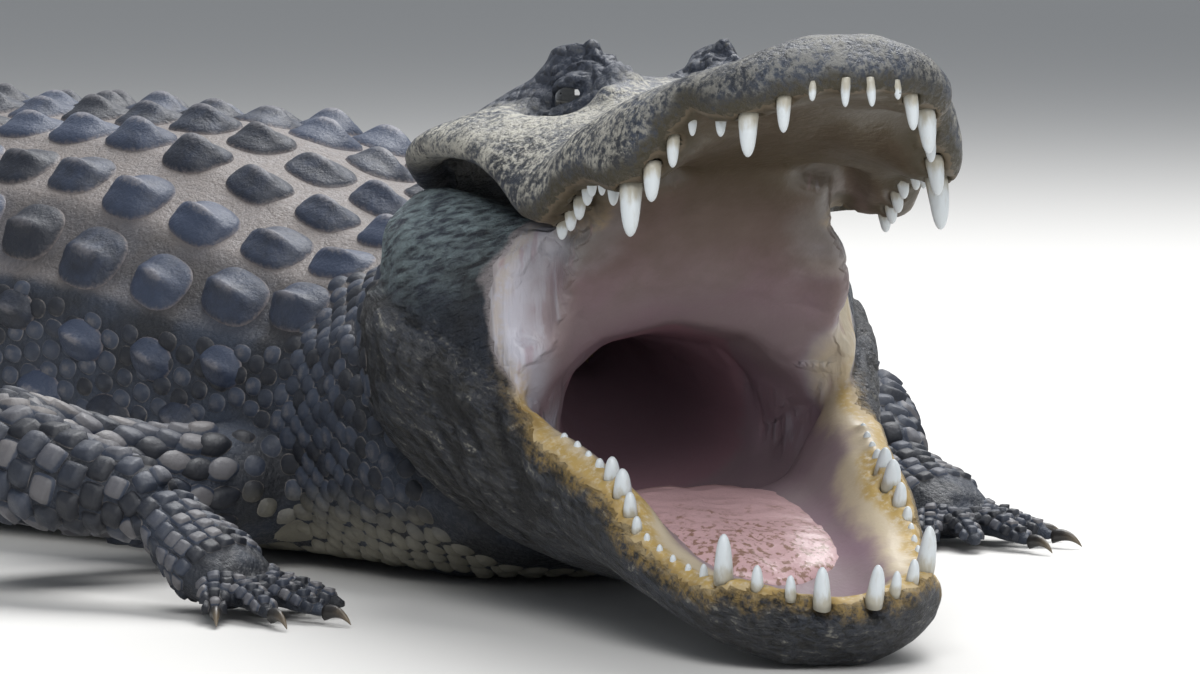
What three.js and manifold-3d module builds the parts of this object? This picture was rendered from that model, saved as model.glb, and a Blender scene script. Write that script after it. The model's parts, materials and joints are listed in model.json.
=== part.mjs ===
// An American alligator lying at rest with its mouth wide open, life size, in millimetres.
// X runs forward along the trunk, Y to the animal's left and Z up.
// The origin is on the floor under the middle of the trunk, on the flat of the belly.
import * as THREE from "three";
import { mergeVertices } from "three/addons/utils/BufferGeometryUtils.js";
import Module from "manifold-3d";

const wasm = await Module();
wasm.setup();

// Driving sizes of the whole animal
const DEG = Math.PI / 180;
const GAP = 0.3;
const SNOUT = 455;
const TAIL_TIP = -2170;
const NECK_CUT = 470;
const CHEST_CUT = 140;
const BELLY_CUT = -200;
const TAIL_CUTS = [-520, -900, -1350, -1800];
const NECK_FRONT = 745;
const TRUNK_HEIGHT = 266;
const BELLY_HALF_WIDTH = 216;

// Pose of the head: the jaw joint, the turn of the neck, the tilt of the skull and the gape
const JAW_JOINT = new THREE.Vector3(606, -38, 184);
const HEAD_YAW = -23.2 * DEG;
const HEAD_PITCH = 16.4 * DEG;
const GAPE = 36.2 * DEG;

// Skin colours, by region
const HIDE = { color: 0x2b2f35, roughness: 0.55, metalness: 0 };
const SNOUT_HIDE = { color: 0x3a3c3d, roughness: 0.6, metalness: 0 };
const JAW_HIDE = { color: 0x35332c, roughness: 0.6, metalness: 0 };
const MOUTH = { color: 0xb98f94, roughness: 0.35, metalness: 0 };
const TONGUE = { color: 0xa97a7c, roughness: 0.4, metalness: 0 };
const EYE = { color: 0x1a1712, roughness: 0.1, metalness: 0 };

// Helpers for curves and closed shapes

const clamp = (value, low, high) => Math.min(high, Math.max(low, value));
const lerp = THREE.MathUtils.lerp;
const power = (value, exponent) => Math.sign(value) * Math.abs(value) ** exponent;
const hill = (offset, width, sharpness = 2) => Math.exp(-(Math.abs(offset / width) ** sharpness));

// A smooth curve through [place, value] stations that never overshoots them.
function through(...stations) {
  const slopes = stations.slice(1).map(([x, y], i) => (y - stations[i][1]) / (x - stations[i][0]));
  const tangent = (i) => {
    if (i === 0 || i === slopes.length) return 0;
    const [before, after] = [slopes[i - 1], slopes[i]];
    return before * after <= 0 ? 0 : (2 * before * after) / (before + after);
  };
  return (place) => {
    const x = clamp(place, stations[0][0], stations[stations.length - 1][0]);
    let i = 0;
    while (i < slopes.length - 1 && x > stations[i + 1][0]) i += 1;
    const [x0, y0] = stations[i];
    const [x1, y1] = stations[i + 1];
    const span = x1 - x0;
    const t = (x - x0) / span;
    const [t2, t3] = [t * t, t * t * t];
    const start = (2 * t3 - 3 * t2 + 1) * y0 + (t3 - 2 * t2 + t) * span * tangent(i);
    return start + (3 * t2 - 2 * t3) * y1 + (t3 - t2) * span * tangent(i + 1);
  };
}

// The geometry with only its positions, each shared corner held once and no face without area.
function welded(geometry) {
  geometry.deleteAttribute("normal");
  geometry.deleteAttribute("uv");
  const merged = mergeVertices(geometry, 1e-4);
  const index = merged.index.array;
  const kept = [];
  for (let i = 0; i < index.length; i += 3) {
    const [a, b, c] = [index[i], index[i + 1], index[i + 2]];
    if (a !== b && b !== c && c !== a) kept.push(a, b, c);
  }
  merged.setIndex(kept);
  return merged;
}

// A closed body: a capped cylinder of `around` by `along` faces, whose points go where
// place(k, t, reach) says. k counts round the section, t runs from 0 to 1 along the body,
// and reach is 1 on the section's rim and 0 at the middle of an end cap.
function shell(around, along, place) {
  const cylinder = new THREE.CylinderGeometry(1, 1, 1, around, along);
  const position = cylinder.getAttribute("position");
  for (let i = 0; i < position.count; i += 1) {
    const [x, y, z] = [position.getX(i), position.getY(i), position.getZ(i)];
    const k = Math.round((Math.atan2(x, z) / (2 * Math.PI)) * around + around) % around;
    const reach = Math.hypot(x, z) > 0.5 ? 1 : 0;
    const t = Math.round((y + 0.5) * along) / along;
    position.setXYZ(i, ...place(k, t, reach).toArray());
  }
  return welded(cylinder);
}

// A solid of the geometry, turned right side out.
function solid(geometry) {
  const triVerts = new Uint32Array(geometry.index.array);
  const vertProperties = new Float32Array(geometry.getAttribute("position").array);
  const made = new wasm.Manifold(new wasm.Mesh({ numProp: 3, vertProperties, triVerts }));
  if (made.volume() > 0) return made;
  for (let i = 0; i < triVerts.length; i += 3) {
    [triVerts[i + 1], triVerts[i + 2]] = [triVerts[i + 2], triVerts[i + 1]];
  }
  return new wasm.Manifold(new wasm.Mesh({ numProp: 3, vertProperties, triVerts }));
}

// The solid's surface as a geometry.
function surface(body) {
  const mesh = body.getMesh();
  const position = new Float32Array(mesh.numVert * 3);
  for (let i = 0; i < mesh.numVert; i += 1) {
    position.set(mesh.vertProperties.subarray(i * mesh.numProp, i * mesh.numProp + 3), i * 3);
  }
  const geometry = new THREE.BufferGeometry();
  geometry.setAttribute("position", new THREE.BufferAttribute(position, 3));
  geometry.setIndex(new THREE.BufferAttribute(new Uint32Array(mesh.triVerts), 1));
  return geometry;
}

// A solid a little larger all round, for cutting a neighbour back from it.
function grown(geometry, by = GAP) {
  const larger = surface(solid(geometry));
  larger.computeVertexNormals();
  const position = larger.getAttribute("position");
  const normal = larger.getAttribute("normal");
  for (let i = 0; i < position.count; i += 1) {
    position.setXYZ(
      i,
      position.getX(i) + by * normal.getX(i),
      position.getY(i) + by * normal.getY(i),
      position.getZ(i) + by * normal.getZ(i),
    );
  }
  larger.deleteAttribute("normal");
  return solid(larger);
}

// The largest piece of a cut solid, without the slivers that a cut can leave.
function mainPiece(body) {
  const pieces = body.decompose();
  return pieces.reduce((best, piece) => (piece.volume() > best.volume() ? piece : best));
}

const cutBy = (body, ...tools) => mainPiece(tools.reduce((rest, tool) => rest.subtract(tool), body));

const alligator = new THREE.Group();

function addNode(name, body, finish) {
  const mesh = new THREE.Mesh(surface(body), new THREE.MeshStandardMaterial(finish));
  mesh.name = name;
  alligator.add(mesh);
}

// The spine: its heading along the body, and its place on the floor by stepping along it

const SPINE_STEP = 5;
const headingDegrees = through(
  [TAIL_TIP, -34],
  [-1750, 4],
  [-1300, 34],
  [-900, 26],
  [-480, 0],
  [395, 0],
  [560, -18],
  [625, HEAD_YAW / DEG],
);

const spinePlaces = new Map([[0, [0, 0]]]);
for (const way of [1, -1]) {
  let [x, y] = [0, 0];
  for (let u = 0; u > TAIL_TIP - SPINE_STEP && u < NECK_FRONT + SPINE_STEP; u += way * SPINE_STEP) {
    const heading = headingDegrees(u + (way * SPINE_STEP) / 2) * DEG;
    x += way * SPINE_STEP * Math.cos(heading);
    y += way * SPINE_STEP * Math.sin(heading);
    spinePlaces.set(u + way * SPINE_STEP, [x, y]);
  }
}

function spineAt(u) {
  const below = Math.floor(u / SPINE_STEP) * SPINE_STEP;
  const share = (u - below) / SPINE_STEP;
  const [x0, y0] = spinePlaces.get(below);
  const [x1, y1] = spinePlaces.get(below + SPINE_STEP) ?? [x0, y0];
  return { x: lerp(x0, x1, share), y: lerp(y0, y1, share), heading: headingDegrees(u) * DEG };
}

// The body's section along the spine

const bodyHalfWidth = through(
  [TAIL_TIP, 4],
  [-2050, 13],
  [-1800, 25],
  [-1400, 42],
  [-1000, 68],
  [-700, 100],
  [-560, 122],
  [-460, 146],
  [-340, 176],
  [-180, 205],
  [-20, BELLY_HALF_WIDTH],
  [150, 207],
  [290, 184],
  [400, 166],
  [500, 158],
  [575, 152],
  [640, 132],
  [700, 100],
  [NECK_FRONT, 64],
);
const bodyTop = through(
  [TAIL_TIP, 12],
  [-2050, 34],
  [-1800, 62],
  [-1400, 98],
  [-1000, 134],
  [-700, 168],
  [-560, 190],
  [-440, 218],
  [-300, 244],
  [-100, TRUNK_HEIGHT],
  [180, TRUNK_HEIGHT],
  [290, 250],
  [350, 229],
  [420, 211],
  [500, 207],
  [570, 216],
  [630, 214],
  [690, 150],
  [NECK_FRONT, 92],
);
const bodyLow = through(
  [TAIL_TIP, -1],
  [-1800, -5],
  [-520, -9],
  [0, -12],
  [545, -9],
  [640, 10],
  [NECK_FRONT, 34],
);
// The height of the section's widest line, as a share of its height
const bodyWaist = through(
  [TAIL_TIP, 0.42],
  [-900, 0.42],
  [-400, 0.38],
  [300, 0.38],
  [560, 0.5],
  [NECK_FRONT, 0.5],
);
const backSquareness = through(
  [TAIL_TIP, 1.7],
  [-1300, 1.8],
  [-700, 2.0],
  [-300, 2.3],
  [200, 2.4],
  [560, 2.3],
);
const BELLY_SQUARENESS = 2.9;

function bodyPoint(u, k, around, reach) {
  const turn = (k / around) * 2 * Math.PI;
  const [top, low] = [bodyTop(u), bodyLow(u)];
  const waist = lerp(low, top, bodyWaist(u));
  const upper = Math.cos(turn) > 0;
  const squareness = upper ? backSquareness(u) : BELLY_SQUARENESS;
  const across = reach * bodyHalfWidth(u) * power(Math.sin(turn), 2 / squareness);
  const rise = reach * (upper ? top - waist : waist - low) * power(Math.cos(turn), 2 / squareness);
  const { x, y, heading } = spineAt(u);
  const height = Math.max(0, waist + rise);
  return new THREE.Vector3(x - across * Math.sin(heading), y + across * Math.cos(heading), height);
}

const BODY_AROUND = 16;
const bodyLength = (from, to, rings, around = BODY_AROUND) =>
  shell(around, rings, (k, t, reach) => bodyPoint(lerp(from, to, t), k, around, reach));

// Frames of the head: the skull, the lower jaw and the line midway between them

function headFrame(pitch) {
  const turned = new THREE.Matrix4().makeRotationZ(HEAD_YAW);
  turned.multiply(new THREE.Matrix4().makeRotationY(-pitch));
  return turned.setPosition(JAW_JOINT);
}
const skullFrame = headFrame(HEAD_PITCH);
const jawFrame = headFrame(HEAD_PITCH - GAPE);
const gapeFrame = headFrame(HEAD_PITCH - GAPE / 2);

// The skull and snout: X forward from the jaw joint, Z up from the line of the upper teeth

const SKULL_BACK = -44;
const skullHalfWidth = through(
  [SKULL_BACK, 88],
  [-20, 112],
  [20, 130],
  [60, 137],
  [110, 134],
  [160, 126],
  [200, 119],
  [240, 112],
  [290, 108.5],
  [322, 106],
  [345, 98],
  [362, 87],
  [378, 78],
  [394, 75],
  [410, 70],
  [425, 60.5],
  [438, 48],
  [447, 34],
  [453, 18],
  [SNOUT, 7],
);
const skullTop = through(
  [SKULL_BACK, 70],
  [-20, 82],
  [15, 89],
  [55, 95],
  [100, 96],
  [135, 88],
  [160, 78],
  [190, 65],
  [225, 54],
  [270, 46],
  [330, 42],
  [380, 38],
  [410, 37],
  [430, 37],
  [442, 33],
  [450, 25],
  [SNOUT, 12],
);
const upperLip = through(
  [SKULL_BACK, 48],
  [0, 58],
  [60, 56],
  [112, 45],
  [135, 37],
  [160, 24],
  [180, 6],
  [198, -12],
  [216, -18],
  [230, -16],
  [243, -13],
  [262, -6],
  [280, -7],
  [300, -15],
  [320, -22],
  [342, -14],
  [362, 1],
  [378, 8],
  [396, -1],
  [413, -5],
  [440, 2],
  [SNOUT, 3],
);
const palateHeight = through(
  [SKULL_BACK, -30],
  [60, -34],
  [130, -34],
  [160, -30],
  [190, -20],
  [225, -4],
  [260, 5],
  [310, 8],
  [400, 8],
  [425, 5],
  [440, 1],
  [SNOUT, 3],
);
const skullSquareness = through(
  [SKULL_BACK, 1.6],
  [80, 1.5],
  [150, 1.5],
  [200, 1.8],
  [260, 2.2],
  [350, 2.5],
);
const BRIM_RISE = 13;
const EYE_X = 133;
const BROW_X = 120;
const BROW_Y = 41;
const tableHalfWidth = through([-20, 72], [60, 68], [120, 52]);

// Raised forms on the top of the head, at a place x along it and y across it.
function skullRelief(x, y) {
  const side = Math.abs(y);
  const brow = 29 * hill(x - BROW_X, 43, 4) * hill(side - BROW_Y, 17, 4);
  const tableEdge = 12 * hill(x - 45, 72, 4) * hill(side - tableHalfWidth(x), 14);
  const nostrils = 5 * hill(x - 428, 15, 3) * hill(side - 11, 14, 3);
  const fang = 5 * hill(x - 322, 26) * hill(side - 84, 18);
  const bridge = 5 * hill(x - 200, 42) * hill(side - 34, 12);
  const socket = 21 * hill(x - EYE_X, 27, 3) * hill(side - 68, 14, 3);
  return brow + tableEdge + nostrils + fang + bridge - socket;
}

const LIP_INSET = 5;
const GUM_INSET = 17;
const INNER_GUM_INSET = 29;
const OUTER_POINTS = 14;
const INNER_STEPS = [0.72, 0.26, -0.26, -0.72];
const HEAD_AROUND = OUTER_POINTS + 1 + 3 + INNER_STEPS.length + 3;

// A section of a jaw with lips and gums. k counts from one brim round the outside to the other,
// and back through the lip, the gums and the roof or floor of the mouth.
function jawSection(k, half, outer, lip, gum, inner) {
  if (k <= OUTER_POINTS) return outer(lerp(-90, 90, k / OUTER_POINTS) * DEG);
  const back = k - OUTER_POINTS - 1;
  const inset = (amount) => Math.min(amount, half * (amount / (INNER_GUM_INSET + 6)));
  const rims = [
    [half - inset(LIP_INSET), lip],
    [half - inset(GUM_INSET), gum],
    [half - inset(INNER_GUM_INSET), gum],
  ];
  if (back < 3) return rims[back];
  const across = half - inset(INNER_GUM_INSET + 2);
  const step = back - 3;
  if (step < INNER_STEPS.length) return [INNER_STEPS[step] * across, inner(INNER_STEPS[step])];
  const [y, z] = rims[2 - (step - INNER_STEPS.length)];
  return [-y, z];
}

function skullPoint(x, k, reach) {
  const half = skullHalfWidth(x);
  const lip = upperLip(x);
  const gum = lip + 3;
  const brim = Math.min(lip + BRIM_RISE, skullTop(x) - 3);
  const bow = 2 / skullSquareness(x);
  const outer = (turn) => {
    const y = half * power(Math.sin(turn), bow);
    return [y, brim + (skullTop(x) - brim) * power(Math.cos(turn), bow) + skullRelief(x, y)];
  };
  const roof = (share) => gum + (palateHeight(x) - gum) * (1 - Math.abs(share) ** 2.4);
  const [y, z] = jawSection(k, half, outer, lip, gum, roof);
  const core = (skullTop(x) + palateHeight(x)) / 2;
  return new THREE.Vector3(x, reach * y, lerp(core, z, reach));
}

// Stations bunch up towards the front, where the outline turns.
const forwardStation = (from, to, t) => from + (to - from) * (1 - (1 - t) ** 1.2);
const SKULL_RINGS = 24;
const skullShape = shell(HEAD_AROUND, SKULL_RINGS, (k, t, reach) =>
  skullPoint(forwardStation(SKULL_BACK, SNOUT, t), k, reach),
);

// The lower jaw: X forward from the jaw joint, Z up from the line of the lower teeth

const JAW_BACK = -62;
const JAW_FRONT = 451;
const jawHalfWidth = through(
  [JAW_BACK, 104],
  [-30, 134],
  [10, 148],
  [50, 154],
  [90, 149],
  [130, 137],
  [170, 123],
  [220, 108],
  [270, 99],
  [309, 94],
  [340, 86],
  [370, 78],
  [402, 72],
  [420, 61],
  [434, 46],
  [443, 31],
  [449, 15],
  [JAW_FRONT, 6],
);
const jawBottom = through(
  [JAW_BACK, -62],
  [-30, -92],
  [10, -114],
  [60, -120],
  [110, -118],
  [160, -109],
  [220, -87],
  [280, -64],
  [350, -50],
  [400, -46],
  [430, -42],
  [443, -32],
  [449, -20],
  [JAW_FRONT, -12],
);
const lowerLip = through(
  [JAW_BACK, -24],
  [0, -2],
  [60, 8],
  [130, 7],
  [200, 0],
  [250, 0],
  [278, 1],
  [296, -1],
  [315, -8],
  [340, -12],
  [365, -11],
  [385, -7],
  [402, 3],
  [420, 5],
  [436, 7],
  [JAW_FRONT, 3],
);
const mouthFloor = through(
  [JAW_BACK, -30],
  [90, -6],
  [112, -50],
  [135, -84],
  [172, -82],
  [194, -56],
  [240, -43],
  [290, -37],
  [350, -31],
  [400, -25],
  [415, -18],
  [427, -4],
  [436, 7],
);
const THROAT_SAG = 14;
const JAW_SQUARENESS = 2.7;

// The gape leans a little to the right: the back of the jaw, the cheeks and the throat swing there.
const jawSwing = through([60, -10], [160, -9], [250, -4], [380, 0]);

function jawPoint(x, k, reach) {
  const half = jawHalfWidth(x);
  const lip = lowerLip(x);
  const bottom = jawBottom(x);
  const brim = Math.max(lip - BRIM_RISE, bottom + 3);
  const sag = THROAT_SAG * hill(x - 205, 120, 4);
  const outer = (turn) => {
    const y = half * power(Math.sin(turn), 2 / JAW_SQUARENESS);
    const drop = (brim - bottom) * power(Math.cos(turn), 2 / JAW_SQUARENESS);
    return [y, brim - drop - sag * hill(y, 52)];
  };
  const floorHeight = (share) => mouthFloor(x) + (lip - mouthFloor(x)) * 0.62 * Math.abs(share) ** 3;
  const [y, z] = jawSection(k, half, outer, lip, lip - 1, floorHeight);
  const core = (lip + bottom) / 2;
  return new THREE.Vector3(x, reach * y + jawSwing(x), lerp(core, z, reach));
}

const JAW_RINGS = 16;
const jawShape = shell(HEAD_AROUND, JAW_RINGS, (k, t, reach) =>
  jawPoint(forwardStation(JAW_BACK, JAW_FRONT, t), k, reach),
);

// The cheeks: the stretched flesh that closes the back of the gape from side to side

const CHEEK_BACK = -66;
const CHEEK_FRONT = 240;
const cheekHalfWidth = through(
  [CHEEK_BACK, 96],
  [-20, 132],
  [40, 140],
  [90, 129],
  [130, 115],
  [152, 107],
  [185, 98],
  [CHEEK_FRONT, 74],
);
const cheekTop = through([CHEEK_BACK, 22], [0, 66], [60, 74], [150, 62], [200, 82], [CHEEK_FRONT, 92]);
const cheekLow = through(
  [CHEEK_BACK, -44],
  [0, -66],
  [90, -84],
  [150, -112],
  [175, -112],
  [205, -20],
  [CHEEK_FRONT, 62],
);
const CHEEK_AROUND = 16;
const CHEEK_RINGS = 8;
const cheekSwing = through([-20, -6], [60, -15]);
const cheekShape = shell(CHEEK_AROUND, CHEEK_RINGS, (k, t, reach) => {
  const turn = (k / CHEEK_AROUND) * 2 * Math.PI;
  const x = lerp(CHEEK_BACK, CHEEK_FRONT, t);
  const middle = (cheekTop(x) + cheekLow(x)) / 2;
  const y = reach * cheekHalfWidth(x) * power(Math.sin(turn), 0.7);
  const z = middle + reach * (cheekTop(x) - middle) * power(Math.cos(turn), 0.7);
  return new THREE.Vector3(x, y + cheekSwing(z), z);
});

// The corners of the mouth: the front edge of each cheek, a hollow curve from lip to lip
const CORNER_INSIDE = 86;
const CORNER_OUTSIDE = 150;
const CORNER_LOW = -64;
const CORNER_HIGH = 84;
const CORNER_REACH = 300;
const cheekEdge = through(
  [CORNER_LOW, 206],
  [-36, 178],
  [-13, 152],
  [18, 153],
  [51, 178],
  [CORNER_HIGH, 214],
);
const cornerHollow = (side) =>
  shell(4, 6, (k, t, reach) => {
    const z = lerp(CORNER_LOW, CORNER_HIGH, t);
    const x = k < 2 ? cheekEdge(z) : CORNER_REACH;
    const y = k === 1 || k === 2 ? CORNER_OUTSIDE : CORNER_INSIDE;
    const middle = new THREE.Vector3(CORNER_REACH, side * CORNER_OUTSIDE, z);
    return middle.lerp(new THREE.Vector3(x, side * y, z), reach || 0.4);
  });

// The throat: the hollow that flares from the pharynx to the back of the gape

const THROAT_BACK = -95;
const THROAT_FRONT = 262;
const PHARYNX_FRONT = 152;
const throatHalfWidth = through(
  [THROAT_BACK, 8],
  [-40, 24],
  [20, 40],
  [73, 54],
  [110, 68],
  [138, 83],
  [152, 97],
  [162, 112],
  [THROAT_FRONT, 130],
);
const throatTop = through(
  [THROAT_BACK, -34],
  [0, -36],
  [100, -22],
  [140, -13],
  [152, -8],
  [168, 3],
  [190, 29],
  [217, 60],
  [246, 84],
  [THROAT_FRONT, 92],
);
const throatLow = through(
  [THROAT_BACK, -52],
  [0, -90],
  [60, -112],
  [100, -124],
  [148, -128],
  [190, -116],
  [THROAT_FRONT, -118],
);
const throatPeak = through([120, 0.95], [142, 1.25], [160, 1.0], [190, 0.7]);
const throatSwing = through([90, 0], [150, -7], [THROAT_FRONT, -9]);
const THROAT_AROUND = 12;
const throatHollow = (front, rings) =>
  shell(THROAT_AROUND, rings, (k, t, reach) => {
    const turn = (k / THROAT_AROUND) * 2 * Math.PI;
    const x = forwardStation(THROAT_BACK, front, t);
    const middle = lerp(throatLow(x), throatTop(x), 0.45);
    const upper = Math.cos(turn) > 0;
    const half = upper ? throatTop(x) - middle : middle - throatLow(x);
    const y = reach * throatHalfWidth(x) * power(Math.sin(turn), 0.85) + throatSwing(x);
    const rise = power(Math.cos(turn), upper ? throatPeak(x) : 0.9);
    return new THREE.Vector3(x, y, middle + reach * half * rise);
  });

// Teeth: [place along the jaw, place across it, width, length]

const UPPER_TEETH = [
  [449, 7, 6, 11],
  [444, 24, 5, 6],
  [431, 36, 9, 17],
  [413, 50.5, 12, 21],
  [396, 60, 7, 10],
  [370, 67, 6, 10],
  [354, 74, 8, 13],
  [338, 82, 11, 17],
  [320, 89, 14, 26],
  [303, 93, 8, 11],
  [287, 94, 6, 9],
  [272, 95, 7, 9],
  [257, 93, 8, 10],
  [243, 94, 8, 9],
  [229, 95, 8, 9],
  [215, 96, 8, 9],
];
const LOWER_TEETH = [
  [441, 15, 11, 19],
  [432, 30, 7, 10],
  [419, 44.5, 8, 12],
  [402, 58, 12, 24],
  [386, 63, 6, 9],
  [372, 67, 5, 6],
  [358, 71, 5, 6],
  [344, 74, 5, 6],
  [331, 77, 5, 6],
  [319, 79, 7, 8],
  [306, 79, 9, 12],
  [292, 79, 12, 15],
  [277, 80, 11, 14],
  [262, 82, 7, 7],
  [249, 84, 6, 6],
  [236, 86, 6, 6],
  [223, 89, 6, 5],
];
const TOOTH_ROOT = 5;
const BIG_TOOTH = 9.5;

// A tooth that stands on a gum at z, up or down as `way` says, leaning outwards a little.
function tooth([x, y, width, length], z, side, way, swing) {
  const big = width > BIG_TOOTH;
  const around = big ? 6 : 4;
  const rings = big ? 2 : 1;
  return shell(around, rings, (k, t, reach) => {
    const turn = (k / around) * 2 * Math.PI;
    const height = lerp(-TOOTH_ROOT, length, t === 0.5 ? 0.62 : t);
    const radius = t === 1 ? 0 : (width / 2) * (t === 0 ? 1.1 : 0.66) * reach;
    return new THREE.Vector3(
      x + radius * Math.cos(turn) - 0.06 * height,
      side * (y + 0.1 * height + radius * Math.sin(turn)) + swing(x),
      z + way * height,
    );
  });
}

function withTeeth(shape, teeth, gumHeight, way, swing = () => 0) {
  let body = solid(shape);
  for (const side of [-1, 1]) {
    for (const one of teeth) {
      body = body.add(solid(tooth(one, gumHeight(one[0]), side, way, swing)));
    }
  }
  return body;
}

const placed = (geometry, frame) => geometry.clone().applyMatrix4(frame);
const placedSolid = (body, frame) => solid(surface(body).applyMatrix4(frame));

// Eyes, low in the outer side of the brows

const EYE_RADIUS = 14.5;
const EYE_Y = 50;
const EYE_Z = 76;
function eyeShape(side, radius) {
  const ball = welded(new THREE.SphereGeometry(radius, 8, 6));
  return ball.applyMatrix4(new THREE.Matrix4().makeTranslation(EYE_X, side * EYE_Y, EYE_Z));
}

const pharynx = solid(placed(throatHollow(PHARYNX_FRONT, 6), gapeFrame));
const mouthBack = solid(placed(throatHollow(THROAT_FRONT, 10), gapeFrame));
const corners = [-1, 1].map((side) => solid(placed(cornerHollow(side), gapeFrame)));
const skull = placed(skullShape, skullFrame);
const jaw = placed(jawShape, jawFrame);
const cheek = placed(cheekShape, gapeFrame);
const eyes = [-1, 1].map((side) => placed(eyeShape(side, EYE_RADIUS), skullFrame));
const orbits = eyes.map((eye) => grown(eye));

const upperGum = (x) => upperLip(x) + 3;
const lowerGum = (x) => lowerLip(x) - 1;
const toothedSkull = placedSolid(withTeeth(skullShape, UPPER_TEETH, upperGum, -1), skullFrame);
const toothedJaw = placedSolid(withTeeth(jawShape, LOWER_TEETH, lowerGum, 1, jawSwing), jawFrame);

// Everything below the floor is cut away, so that the chin and the throat rest on small flats.
const FLOOR_REACH = 1000;
const underFloor = solid(
  welded(new THREE.BoxGeometry(2 * FLOOR_REACH, 2 * FLOOR_REACH, FLOOR_REACH)).applyMatrix4(
    new THREE.Matrix4().makeTranslation(JAW_JOINT.x, JAW_JOINT.y, -FLOOR_REACH / 2),
  ),
);

addNode("head", cutBy(toothedSkull, ...orbits), SNOUT_HIDE);
addNode("jaw", cutBy(toothedJaw, grown(skull), pharynx, underFloor), JAW_HIDE);
for (const [i, name] of ["eye_right", "eye_left"].entries()) {
  addNode(name, solid(eyes[i]), EYE);
}

// The tongue: a broad pad fixed along its length to the floor of the mouth

const TONGUE_BACK = 192;
const TONGUE_FRONT = 352;
const tongueHalfWidth = through(
  [TONGUE_BACK, 44],
  [215, 58],
  [270, 62],
  [310, 52],
  [335, 38],
  [TONGUE_FRONT, 18],
);
const tongueTop = through(
  [TONGUE_BACK, -46],
  [215, -38],
  [260, -30],
  [320, -24],
  [TONGUE_FRONT, -25],
);
const TONGUE_AROUND = 12;
const tongueShape = shell(TONGUE_AROUND, 6, (k, t, reach) => {
  const turn = (k / TONGUE_AROUND) * 2 * Math.PI;
  const x = lerp(TONGUE_BACK, TONGUE_FRONT, t);
  const base = mouthFloor(x) - 6;
  const y = reach * tongueHalfWidth(x) * power(Math.sin(turn), 0.8);
  const half = (tongueTop(x) - base) / 2;
  return new THREE.Vector3(x, y + jawSwing(x), base + half + reach * half * power(Math.cos(turn), 0.8));
});
const tongue = placed(tongueShape, jawFrame);
addNode("tongue", cutBy(solid(tongue), grown(jaw)), TONGUE);
const toothedJaws = [toothedSkull, toothedJaw];
const clearOfJaws = toothedJaws.map((body) => grown(surface(body), 2 * GAP));
const cheekTools = [...toothedJaws, ...clearOfJaws, grown(tongue), mouthBack, ...corners];
addNode("cheeks", cutBy(solid(cheek), ...cheekTools), MOUTH);

// Neck, trunk and tail

const cut = GAP / 2;
const chest = bodyLength(CHEST_CUT + cut, NECK_CUT - cut, 5);
const belly = bodyLength(BELLY_CUT + cut, CHEST_CUT - cut, 5);
const hips = bodyLength(TAIL_CUTS[0] + cut, BELLY_CUT - cut, 5);
const neck = bodyLength(NECK_CUT + cut, NECK_FRONT, 6);
addNode("neck", cutBy(solid(neck), grown(skull), grown(jaw), grown(cheek), pharynx), HIDE);
addNode("chest", solid(chest), HIDE);
addNode("belly", solid(belly), HIDE);
addNode("hips", solid(hips), HIDE);

const TAIL_AROUND = 11;
const tailNames = ["tail_root", "tail_middle", "tail_end", "tail_tip"];
const tailRings = [5, 5, 5, 5];
tailNames.forEach((name, i) => {
  const end = TAIL_CUTS[i + 1] ?? TAIL_TIP;
  addNode(name, solid(bodyLength(end + cut, TAIL_CUTS[i] - cut, tailRings[i], TAIL_AROUND)), HIDE);
});

// Legs: a bent tube through the joints of each limb, parted at them, and a foot with clawed toes

const UP = new THREE.Vector3(0, 0, 1);

// A tube along a curve from one share of its length to another; its underside stays above the floor.
function tube(curve, from, to, radius, around, along, flatness = 1) {
  return shell(around, along, (k, t, reach) => {
    const share = lerp(from, to, t);
    const turn = (k / around) * 2 * Math.PI;
    const tangent = curve.getTangent(share);
    const aside = new THREE.Vector3().crossVectors(UP, tangent).normalize();
    const above = new THREE.Vector3().crossVectors(tangent, aside).normalize();
    const point = curve.getPoint(share);
    point.addScaledVector(aside, reach * radius(share) * Math.sin(turn));
    point.addScaledVector(above, reach * radius(share) * flatness * Math.cos(turn));
    point.z = Math.max(0, point.z);
    return point;
  });
}

// Places of one limb's joints, with y counted outwards from the middle line.
const LIMBS = {
  arm: {
    names: ["upper_arm", "forearm", "hand"],
    trunk: [chest, neck],
    radii: through([0, 52], [0.25, 38], [0.5, 37], [0.75, 31], [1, 23]),
    toeRadius: 9,
    joints: {
      right: [
        [412, 104, 62],
        [398, 204, 52],
        [370, 320, 80],
        [446, 328, 70],
        [514, 306, 58],
      ],
      left: [
        [412, 104, 62],
        [402, 204, 52],
        [380, 318, 78],
        [462, 306, 65],
        [532, 262, 48],
      ],
    },
    palm: { length: 70, width: 36, height: 17 },
    headings: { right: -8, left: -4 },
    toes: [
      { turn: 44, length: 46, claw: 15 },
      { turn: 22, length: 62, claw: 17 },
      { turn: 1, length: 68, claw: 17 },
      { turn: -21, length: 60, claw: 0 },
      { turn: -43, length: 46, claw: 0 },
    ],
  },
  leg: {
    names: ["thigh", "shank", "foot"],
    trunk: [hips, belly],
    radii: through([0, 78], [0.25, 68], [0.5, 47], [0.75, 39], [1, 26]),
    toeRadius: 10,
    joints: {
      right: [
        [-408, 84, 128],
        [-372, 205, 112],
        [-318, 306, 84],
        [-402, 356, 60],
        [-478, 352, 42],
      ],
      left: [
        [-408, 84, 128],
        [-386, 205, 112],
        [-344, 306, 82],
        [-434, 346, 58],
        [-512, 332, 42],
      ],
    },
    palm: { length: 92, width: 40, height: 18 },
    headings: { right: 38, left: 46 },
    toes: [
      { turn: 26, length: 60, claw: 18 },
      { turn: 9, length: 82, claw: 20 },
      { turn: -8, length: 92, claw: 20 },
      { turn: -27, length: 78, claw: 0 },
    ],
  },
};

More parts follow.
